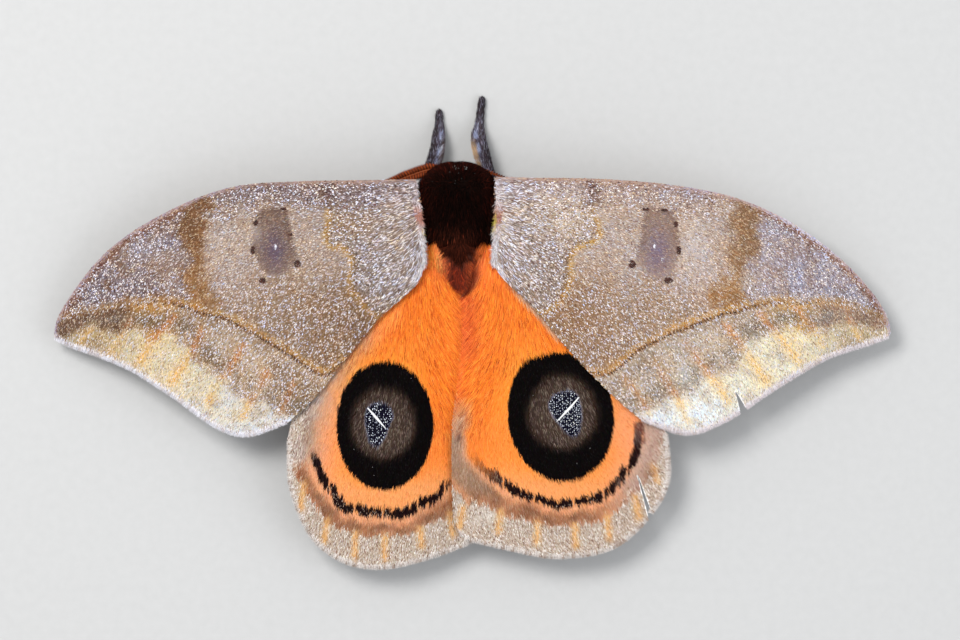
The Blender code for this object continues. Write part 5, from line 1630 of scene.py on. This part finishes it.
fields = []
s = (at[:, 1] - THORAX_MIDDLE_Y) / np.where(at[:, 1] > THORAX_MIDDLE_Y, front_end, end)
half_width, half_height, middle_z = thorax_section(np.clip(s, -0.98, 0.98), thorax_inset(s))
fields.append((np.sqrt(((at[:, 0] - AXIS_X) / half_width) ** 2 + ((at[:, 2] - middle_z) / half_height) ** 2) - 1) * 3.0 + np.maximum(np.abs(s) - 0.97, 0) * end * 1.5)
fields.append((np.linalg.norm((at - HEAD_MIDDLE - (0, 0.15, -0.15)) / (head_radii + 0.2), axis=1) - 1) * 1.6)
far, abdomen_near = nearest_on(at, abdomen_line[::3])
fields.append(far - wide[::3][abdomen_near] * 0.95)
far, _ = nearest_on(at, tuft_line[::2])
fields.append(far - np.interp(_ * 2, [0, 39], [1.3, 0.3]))
for line, radius in LEG_LINES.values():
    far, near = nearest_on(at, line)
    fields.append(far - radius[near] + 0.15)
region = np.argmin(np.stack(fields), axis=0)
# the palps and the antennae's first joints belong to the head
region[(at[:, 1] > 20.0) & (np.abs(at[:, 0] - AXIS_X) < 1.6) & (at[:, 2] < 6.6)] = 1
ROOTS = 4 + len(LEG_LINES)
region[((region == 0) | (region == 3)) & (at[:, 1] < 11.3) & (at[:, 2] < 8.55) & (at[:, 2] > 6.6)] = ROOTS
region[(region == 3) & (np.abs(at[:, 0] - AXIS_X - 0.1) > 1.5) & (at[:, 1] < 9.8)] = ROOTS


def body_colour(p, normal, region, near_leg=None):
    """Mean display colour of the coat at points of the body, in plan millimetres."""
    x, y, z = p[:, 0], p[:, 1], p[:, 2]
    n = noise(x * 3 + 7, y * 3 + z * 2, 1.6, 71) - 0.5
    colour = np.tile(np.array([21.0, 7, 4]), (len(p), 1))
    # thorax: near black, browner at its rear and front, russet brown below
    colour = mix(colour, (76, 36, 24), step(14.6, 10.6, y) * step(4.8, 1.0, np.abs(x - AXIS_X + 0.2)) * 0.92)
    colour = mix(colour, (50, 16, 10), step(18.2, 20.3, y) * 0.85)
    colour = mix(colour, (50, 18, 11), step(1.8, 4.2, np.abs(x - AXIS_X)) * step(13.0, 16.0, y) * 0.75)
    colour = mix(colour, (66, 32, 22), step(5.6, 4.0, z) * 0.85)
    colour = mix(colour, (96, 58, 42), step(3.6, 2.2, z) * 0.7)
    head = region == 1
    face = step(19.6, 20.4, y)
    head_colour = mix(np.tile(np.array([44.0, 16, 10]), (len(p), 1)), (74, 34, 24), face * step(6.4, 4.6, z))
    head_colour = mix(head_colour, (98, 52, 36), step(3.3, 2.6, z))
    colour[head] = head_colour[head]
    belly = region == 2
    along = (abdomen_line[0, 1] - y) / ABDOMEN_LENGTH
    band = np.exp(-((((along * 8.5) % 1) - 0.5) / 0.2) ** 2)
    above = step(-0.35, 0.25, normal[:, 2])
    belly_colour = mix(np.tile(np.array([128.0, 84, 62]), (len(p), 1)), (214, 112, 52), above)
    belly_colour = mix(belly_colour, (120, 56, 34), band * above * 0.6)
    belly_colour = mix(belly_colour, (158, 118, 92), band * (1 - above) * 0.6)
    belly_colour = mix(belly_colour, (150, 72, 40), step(0.86, 1.0, along) * 0.7)
    colour[belly] = belly_colour[belly]
    tuft = region == 3
    rusty = mix(np.tile(np.array([140.0, 44, 13]), (len(p), 1)), (208, 92, 42), step(0.25, 1.3, x - AXIS_X - 0.1))
    # the tuft's left side is peach, and is painted brighter than that: painted light against the shade on its slope
    rusty = mix(rusty, (318, 158, 90), step(0.4, 1.1, AXIS_X - 0.1 - x))
    rusty = mix(rusty, (224, 100, 42), step(6.2, 4.9, y) * 0.7)
    dark_end = 8.5 + 0.95 * np.abs(x - AXIS_X - 0.15)
    tuft_colour = rusty + (np.array([66.0, 28, 17]) - rusty) * step(-0.75, 0.45, y + n * 1.6 - dark_end)[:, None]
    colour[tuft] = tuft_colour[tuft]
    for k, name in enumerate(LEG_LINES):
        here = region == 4 + k
        if not here.any():
            continue
        q, qn = p[here], normal[here]
        inner = np.sign(AXIS_X - LEGS[name][3][0])
        base = np.tile(np.array([78.0, 66, 74]), (here.sum(), 1))
        lit = step(0.15, 0.8, qn[:, 2] + 0.35 * inner * qn[:, 0])
        if name.startswith("fore"):
            patchy = noise(q[:, 0], q[:, 1], 0.42, 81) * 0.6 + noise(q[:, 0], q[:, 1], 0.17, 82) * 0.4
            base = mix(base, (96, 85, 98), lit)
            # the forelegs' upper inner faces take a mottled pale-blue painted highlight
            base = mix(base, (170, 178, 212), step(-0.12, 0.25, inner * qn[:, 0]) * step(0.9, 0.6, inner * qn[:, 0]) * step(0.2, 0.6, qn[:, 2]) * step(27.0, 24.0, q[:, 1]) * step(0.2, 0.65, patchy))
            base = mix(base, (204, 172, 142), step(0.30, 0.60, inner * qn[:, 0]) * step(24.3, 22.6, q[:, 1]) * (0.95 if name.endswith("right") else 0.25))
        else:
            base = mix(base, (104, 84, 82), lit * 0.6)
        tarsus = step(1.1, 0.6, q[:, 2])
        base = mix(base, (62, 50, 54), tarsus * 0.8)
        colour[here] = base
    roots = region == 4 + len(LEG_LINES)
    if roots.any():
        px, py = x[roots] / UNIT + PLAN_X, PLAN_Y - y[roots] / UNIT
        left = hindwing_top(px, np.maximum(py, 262), "left")[0]
        right = hindwing_top(px, np.maximum(py, 262), "right")[0]
        # the left side's root hair is painted 1.22 times brighter: painted light against the shadow of the thorax and
        # the forewing
        colour[roots] = np.where((x[roots] < AXIS_X + 0.4)[:, None], left * 1.22, right)
        colour[roots] = mix(colour[roots], (84, 34, 20), step(254, 244, py) * bell(px - 446, 9) * 0.75)
    return colour + n[:, None] * colour * 0.25 * (~roots)[:, None]


paint(body_mesh, linear(body_colour(at, normals, region) * 0.8))
body_frame = (at + np.array([SHIFT[0], SHIFT[1], 0])) * MM
body_mesh.vertices.foreach_set("co", body_frame.astype(np.float32).ravel())
body_mesh.update()
body_mesh.polygons.foreach_set("use_smooth", np.full(len(body_mesh.polygons), True))
piece("body_skin", body_mesh, skin_mat, ("head", "thorax", "thorax_tuft", "abdomen", "palp_left", "palp_right", *LEGS))

corner = at[tri]
tri_area = np.linalg.norm(np.cross(corner[:, 1] - corner[:, 0], corner[:, 2] - corner[:, 0]), axis=1) / 2
tri_region = region[tri[:, 0]]


def on_body(chosen, count, rng):
    """Evenly spread points on some of the body's triangles, with their normals."""
    total = np.cumsum(tri_area[chosen])
    t = (np.arange(count) + rng.random(count)) / count * total[-1]
    f = tri[chosen[np.minimum(np.searchsorted(total, t), len(chosen) - 1)]]
    a, b = np.sqrt(rng.random(count)), rng.random(count)
    weights = np.stack([1 - a, a * (1 - b), a * b], axis=1)[:, :, None]
    return (at[f] * weights).sum(axis=1), unit((normals[f] * weights).sum(axis=1))


def lie(flow, normal, lift):
    flat = flow - normal * np.sum(flow * normal, axis=1)[:, None]
    return unit(unit(flat) + normal * lift[:, None])


def in_frame(p):
    return p + np.array([SHIFT[0], SHIFT[1], 0])


BODY_HAIR = {"thorax": 13000, "head": 6500, "abdomen": 5800, "tuft": 2600, "roots": 1200}
for k, name in enumerate(BODY_HAIR):
    rng = np.random.default_rng(400 + k)
    kind = ROOTS if name == "roots" else k
    chosen = np.where(tri_region == kind)[0]
    if name == "tuft":
        chosen = chosen[normals[tri[chosen, 0], 2] > -0.2]
    n = int(BODY_HAIR[name] * DENSE)
    root, normal = on_body(chosen, n, rng)
    x, y, z = root.T
    dx = (x - AXIS_X) / 4.5
    flow = np.zeros((n, 3))
    if name == "thorax":
        flow[:, 0] = 0.28 * dx
        flow[:, 1] = -1
        flow[:, 2] = -0.35 * step(8.5, 4.0, z)
        flow[:, 0] *= 1 + 1.4 * step(6.0, 9.0, z)
        # the collar's hair hangs forward over the head and spreads to the sides
        collar = step(16.6, 19.6, y)
        parting = bell(collar - 0.45, 0.28)
        flow[:, 0] += collar * dx * 0.9
        flow[:, 1] += collar * 2.0
        flow += parting[:, None] * rng.normal(0, 0.9, (n, 3)) * (1, 1, 0.2)
        lift = rng.uniform(0.20, 0.44, n) + 0.16 * collar * step(5.5, 8.0, z) + 0.25 * parting + 0.3 * step(3.0, 4.2, np.abs(x - AXIS_X)) * bell(y - 18.6, 1.1)
        length = rng.uniform(0.85, 1.25, n) * (1 - 0.22 * parting) * (1 - 0.12 * collar) * (1 - 0.25 * step(4.0, 2.5, z))
        width = rng.uniform(0.06, 0.10, n)
        bend = -normal * 0.28 + np.array([0, -0.22, 0]) * (1 - collar)[:, None]
        uv = np.stack([np.arctan2(z - 6.3, x - AXIS_X) / TAU + 0.5, (y - 8) / 13], axis=1)
        material = dark_mat
    elif name == "head":
        # over the crown and down the face, away from the antennae's roots
        flow[:, 0] = 0.5 * (x - AXIS_X) / 2.2
        flow[:, 1] = step(4.5, 6.6, z) * 1.0 + 0.15
        flow[:, 2] = -1.0 * step(6.9, 5.4, z) - 0.1
        palp = (z < 3.0) & (y > 20.0)
        flow[palp] = (0.05, 1.0, 0.15)
        lift = rng.uniform(0.12, 0.42, n)
        length = rng.uniform(0.34, 0.52, n) * (1 - 0.35 * palp) * (1 + 0.9 * step(5.6, 6.8, z))
        length *= 1 - 0.5 * step(7.1, 7.6, z)
        length *= np.where((np.abs(np.abs(x - AXIS_X) - EYE_SPREAD) < 0.75) & (np.abs(z - 4.8) < 1.3), 0.55, 1.0)
        width = rng.uniform(0.045, 0.07, n)
        bend = -normal * 0.2
        uv = np.stack([np.arctan2(z - 5.0, x - AXIS_X) / TAU + 0.5, (y - 17) / 5], axis=1)
        material = hair_mat
    elif name == "abdomen":
        flow[:, 1] = -1
        lift = rng.uniform(0.10, 0.26, n)
        length = rng.uniform(0.8, 1.25, n)
        width = rng.uniform(0.10, 0.15, n)
        bend = -normal * 0.12
        uv = np.stack([np.arctan2(z - 3.2, x - AXIS_X) / TAU + 0.5, (y + 14) / 26], axis=1)
        material = hair_mat
    elif name == "roots":
        flow[:, 0] = -0.25 * np.sign(dx)
        flow[:, 1] = -1
        lift = rng.uniform(0.02, 0.14, n)
        length = rng.uniform(0.8, 1.4, n)
        width = rng.uniform(0.08, 0.12, n)
        bend = -normal * 0.1
        uv = np.stack([(x + 8) / 14, (y - 6) / 7], axis=1)
        material = hind_mat
    else:
        flow[:, 0] = 0.55 * (x - AXIS_X - 0.1) + rng.normal(0, 0.30, n)
        flow[:, 1] = -1
        flow[:, 2] = -0.12
        lift = rng.uniform(0.08, 0.45, n)
        length = rng.uniform(0.8, 1.7, n) * np.clip((y - 4.2) / 2.6, 0.38, 1)
        width = rng.uniform(0.055, 0.09, n)
        bend = -normal * 0.24
        uv = np.stack([(x + 5) / 7, (y - 3) / 9], axis=1)
        material = hair_mat
    way = lie(flow, normal, lift)
    way = turned(way, normal, rng.normal(0, 0.16 if name != "abdomen" else 0.12, n))
    mean = body_colour(root, normal, np.full(n, kind))
    vary = {"roots": 0.09, "thorax": 0.40}.get(name, 0.24)
    colour = mean * (1 + rng.normal(0, vary, n))[:, None] + rng.normal(0, 1.5, n)[:, None]
    if name == "thorax":
        colour = colour * np.where(rng.random(n) < 0.07, 1.8, 1.0)[:, None]
    base, tip = linear(np.clip(colour * 0.9, 1, 320)), linear(np.clip(colour * 1.1, 1, 336))
    keep = np.ones(n, bool)
    for eye in EYES.values():
        keep &= np.linalg.norm((root - eye) / np.array([0.92, 1, 1]), axis=1) > EYE_RADIUS * 1.0
    s_ = np.where(keep)[0]
    if name == "tuft":
        dark = mean[s_, 0] < 90
        d_ = s_[dark]
        hairs("tuft_dark_coat", in_frame(root[d_]), way[d_], bend[d_], length[d_] * 0.8, width[d_], base[d_], tip[d_], uv[d_], dark_mat)
        s_ = s_[~dark]
    hairs(f"{name}_coat", in_frame(root[s_]), way[s_], bend[s_], length[s_], width[s_], base[s_], tip[s_], uv[s_], material)

for k, (leg_name, (line, radius)) in enumerate(LEG_LINES.items()):
    rng = np.random.default_rng(450 + k)
    chosen = np.where(tri_region == 4 + k)[0]
    n = int(3600 * DENSE)
    root, normal = on_body(chosen, n, rng)
    _, near = nearest_on(root, line)
    tangent = unit(np.gradient(line[:, :3], axis=0))[near]
    foot = step(1.3, 0.6, root[:, 2])
    fore = leg_name.startswith("fore")
    length = rng.uniform(0.42, 0.68, n) * (1 - (0.36 if fore else 0.58) * foot)
    width = rng.uniform(0.06, 0.10, n) * (1 - 0.3 * foot)
    lift = rng.uniform(0.14, 0.5, n) * (1 - (0.1 if fore else 0.7) * foot)
    way = lie(tangent, normal, lift)
    way = turned(way, normal, rng.normal(0, 0.26, n))
    tip_z = root[:, 2] + way[:, 2] * length
    length = np.where(tip_z < 0.01, length * 0.3, length)
    keep = (root + way * length[:, None])[:, 2] > 0.005
    mean = body_colour(root, normal, np.full(n, 4 + k))
    colour, _ = scale_colours(mean, np.full(n, 24.0), rng, white=(206, 212, 240), cream=(206, 212, 240), grain=0.5)
    uv = np.stack([(k + 0.5 + np.arctan2(normal[:, 2], normal[:, 0]) / TAU * 0.9) / 6, 0.03 + 0.94 * near / len(line)], axis=1)
    s_ = np.where(keep)[0]
    vanes(f"{leg_name}_coat", in_frame(root[s_]), way[s_], normal[s_], length[s_], width[s_], (width * 0.25)[s_], np.full(n, 0.03)[s_], linear(colour * 0.9)[s_], linear(np.clip(colour * 1.06, 0, 255))[s_], uv[s_], hair_mat)

# a few white scales caught on top of the thorax
rng = np.random.default_rng(470)
spots = [(455, 171), (457, 173), (465, 171.5), (466, 173.5), (458.5, 176), (463, 180), (455.5, 185), (458, 182), (474.5, 177), (452, 177), (436, 184), (439, 246)]
roots, sides, ups = [], [], []
top_tri = np.where((tri_region == 0) & (normals[tri[:, 0], 2] > 0.3))[0]
pool, pool_normal = on_body(top_tri, 20000, rng)
pool_x, pool_y = (pool[:, 0]) / UNIT + PLAN_X, PLAN_Y - pool[:, 1] / UNIT
for px, py in spots:
    i = int(np.argmin((pool_x - px) ** 2 + (pool_y - py) ** 2))
    for _ in range(3 if py < 174 else 1):
        roots.append(pool[i] + pool_normal[i] * rng.uniform(0.50, 0.62) + rng.normal(0, 0.10, 3) * (1, 1, 0.1))
        ups.append(pool_normal[i])
roots, ups = np.array(roots), np.array(ups)
n = len(roots)
way = lie(rng.normal(0, 1, (n, 3)) * (1, 0.6, 0.2), ups, np.full(n, 0.1))
colour = linear(np.tile(np.array([224.0, 222, 222]), (n, 1)) * np.where(np.arange(n) < 12, 1.0, 0.55)[:, None])
vanes("thorax_specks", in_frame(roots), way, ups, rng.uniform(0.08, 0.17, n), rng.uniform(0.035, 0.06, n), np.full(n, 0.02), np.full(n, 0.05), colour, colour, np.stack([(roots[:, 0] + 8) / 14, (roots[:, 1] - 7) / 15], axis=1), scale_mat)

# ---------------------------------------------------------------- eyes, antennae and claws

eye_mat, nodes, links, shader = node_material("compound_eye")
where = nodes.new("ShaderNodeTexCoord")
facets = nodes.new("ShaderNodeTexVoronoi")
facets.inputs["Scale"].default_value = 17000
links.new(where.outputs["Object"], facets.inputs["Vector"])
bump = nodes.new("ShaderNodeBump")
bump.invert = True
bump.inputs["Strength"].default_value = 0.35
bump.inputs["Distance"].default_value = 0.00002
links.new(facets.outputs["Distance"], bump.inputs["Height"])
links.new(bump.outputs["Normal"], shader.inputs["Normal"])
cloud = nodes.new("ShaderNodeTexNoise")
cloud.inputs["Scale"].default_value = 1500
links.new(where.outputs["Object"], cloud.inputs["Vector"])
ramp = nodes.new("ShaderNodeValToRGB")
ramp.color_ramp.elements[0].color = (0.006, 0.003, 0.002, 1)
ramp.color_ramp.elements[1].color = (0.030, 0.012, 0.007, 1)
links.new(cloud.outputs["Fac"], ramp.inputs["Fac"])
links.new(ramp.outputs["Color"], shader.inputs["Base Color"])
rough_range = nodes.new("ShaderNodeMapRange")
rough_range.inputs["To Min"].default_value = 0.20
rough_range.inputs["To Max"].default_value = 0.34
links.new(cloud.outputs["Fac"], rough_range.inputs["Value"])
links.new(rough_range.outputs["Result"], shader.inputs["Roughness"])
shader.inputs["Specular IOR Level"].default_value = 0.32
for side_name, eye in EYES.items():
    verts, faces = ball_form(eye, (EYE_RADIUS * 0.92 * 0.99, EYE_RADIUS * 0.99, EYE_RADIUS * 0.99), across=56, rings=36)
    mesh = mesh_from("eye_" + side_name + "_ball", in_frame(verts) * MM, faces, True)
    piece("eye_" + side_name + "_ball", mesh, eye_mat, ("eye_" + side_name,))

feeler_mat = coat_material("feeler", 0.55, 7000, 0.3, 0.15, specular=0.15)
for side_name, path in (("left", ANTENNA_LEFT), ("right", ANTENNA_RIGHT)):
    rng = np.random.default_rng(480 if side_name == "left" else 481)
    count = 44
    line = through(path, count)
    far = np.linalg.norm(np.diff(line, axis=0), axis=1).sum()
    t = np.linspace(0, 1, count)
    radius = 0.135 - 0.075 * t
    knots = 1 + 0.14 * np.cos(np.arange(count) * np.pi)
    shaft, shaft_faces = tube_form(line, radius * knots, around=10)
    forward = unit(np.gradient(line, axis=0))
    side = unit(np.cross(forward, np.array([[0, 0, 1.0]])))
    up = np.cross(side, forward)
    barbs = int(far / (0.17 if side_name == "left" else 0.31))
    at_t = (np.arange(barbs) + 0.6) / barbs
    index = at_t * (count - 1)
    roots, ways, lengths = [], [], []
    full = np.minimum(1, at_t / 0.16) ** 0.7 * np.minimum(1, (1 - at_t) / (0.55 if side_name == "left" else 0.30)) ** 0.7
    for half in (-1, 1):
        for tilt in (0.12, -0.10) if side_name == "left" else (0.95, -0.90):
            j = index + (0.0 if tilt > 0 else 0.30)
            here = np.stack([np.interp(j, np.arange(count), line[:, k]) for k in range(3)], axis=1)
            f = unit(np.stack([np.interp(j, np.arange(count), forward[:, k]) for k in range(3)], axis=1))
            s = unit(np.stack([np.interp(j, np.arange(count), side[:, k]) for k in range(3)], axis=1))
            u = np.cross(s, f)
            roots.append(here + s * half * 0.05)
            ways.append(unit(s * half * (0.92 if side_name == "left" else 0.26) + f * 0.24 + u * tilt))
            lengths.append((0.86 if side_name == "left" else 0.80) * full + 0.06)
    root, way, length = np.vstack(roots), np.vstack(ways), np.concatenate(lengths)
    n = len(root)
    width = (0.26 if side_name == "left" else 0.17) - 0.05 * np.concatenate([at_t] * 4)
    bend = np.tile(np.array([0, 0, -0.10]), (n, 1)) + unit(np.vstack([np.stack([np.interp(index, np.arange(count), forward[:, k]) for k in range(3)], axis=1)] * 4)) * 0.12
    shade = np.where((np.arange(n) % 2 == 0)[:, None], np.array([150.0, 66, 26]), np.array([88.0, 36, 15])) * (1 + rng.normal(0, 0.08, n))[:, None]
    comb = hairs(f"antenna_{side_name}_comb", in_frame(root), way, bend, length, width, linear(shade * 0.95), linear(np.clip(shade * 1.15, 0, 255)), np.stack([0.5 + 0.4 * np.sign(way[:, 0]) * 0.5, np.concatenate([at_t] * 4)], axis=1), feeler_mat)
    mesh = mesh_from(f"antenna_{side_name}_shaft", in_frame(shaft) * MM, shaft_faces, True)
    tone = np.interp(np.arange(len(shaft)), [0, len(shaft)], [0, 1])
    paint(mesh, linear(np.stack([150 - 20 * tone, 70 - 8 * tone, 30 - 2 * tone], axis=1)))
    piece(f"antenna_{side_name}_shaft", mesh, feeler_mat, (f"antenna_{side_name}",))

claw_mat, nodes, links, shader = node_material("claw")
where = nodes.new("ShaderNodeTexCoord")
cloud = nodes.new("ShaderNodeTexNoise")
cloud.inputs["Scale"].default_value = 5000
links.new(where.outputs["Object"], cloud.inputs["Vector"])
ramp = nodes.new("ShaderNodeValToRGB")
ramp.color_ramp.elements[0].color = (0.012, 0.007, 0.005, 1)
ramp.color_ramp.elements[1].color = (0.060, 0.028, 0.016, 1)
links.new(cloud.outputs["Fac"], ramp.inputs["Fac"])
links.new(ramp.outputs["Color"], shader.inputs["Base Color"])
bump = nodes.new("ShaderNodeBump")
bump.inputs["Strength"].default_value = 0.2
bump.inputs["Distance"].default_value = 0.00002
links.new(cloud.outputs["Fac"], bump.inputs["Height"])
links.new(bump.outputs["Normal"], shader.inputs["Normal"])
shader.inputs["Roughness"].default_value = 0.3
claw_verts, claw_faces, start = [], [], 0
for leg_name, (line, radius) in LEG_LINES.items():
    tip = line[-1, :3]
    forward = unit(line[-1, :3] - line[-3, :3])
    forward[2] = 0
    forward = unit(forward)
    side = np.array([-forward[1], forward[0], 0])
    for half in (-1, 1):
        root = tip - forward * 0.12 + side * half * 0.08
        hook = through([root, root + forward * 0.16 + side * half * 0.10 + (0, 0, 0.05), root + forward * 0.34 + side * half * 0.16 + (0, 0, 0.0), root + forward * 0.42 + side * half * 0.15 + (0, 0, -0.12)], 12)
        hook[:, 2] = np.maximum(hook[:, 2], 0.03)
        v, f = tube_form(hook, np.linspace(0.055, 0.012, 12), around=8)
        claw_verts.append(v)
        claw_faces.append(f + start)
        start += len(v)
mesh = mesh_from("claws", in_frame(np.vstack(claw_verts)) * MM, np.vstack(claw_faces), True)
piece("claws", mesh, claw_mat)

low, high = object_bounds()
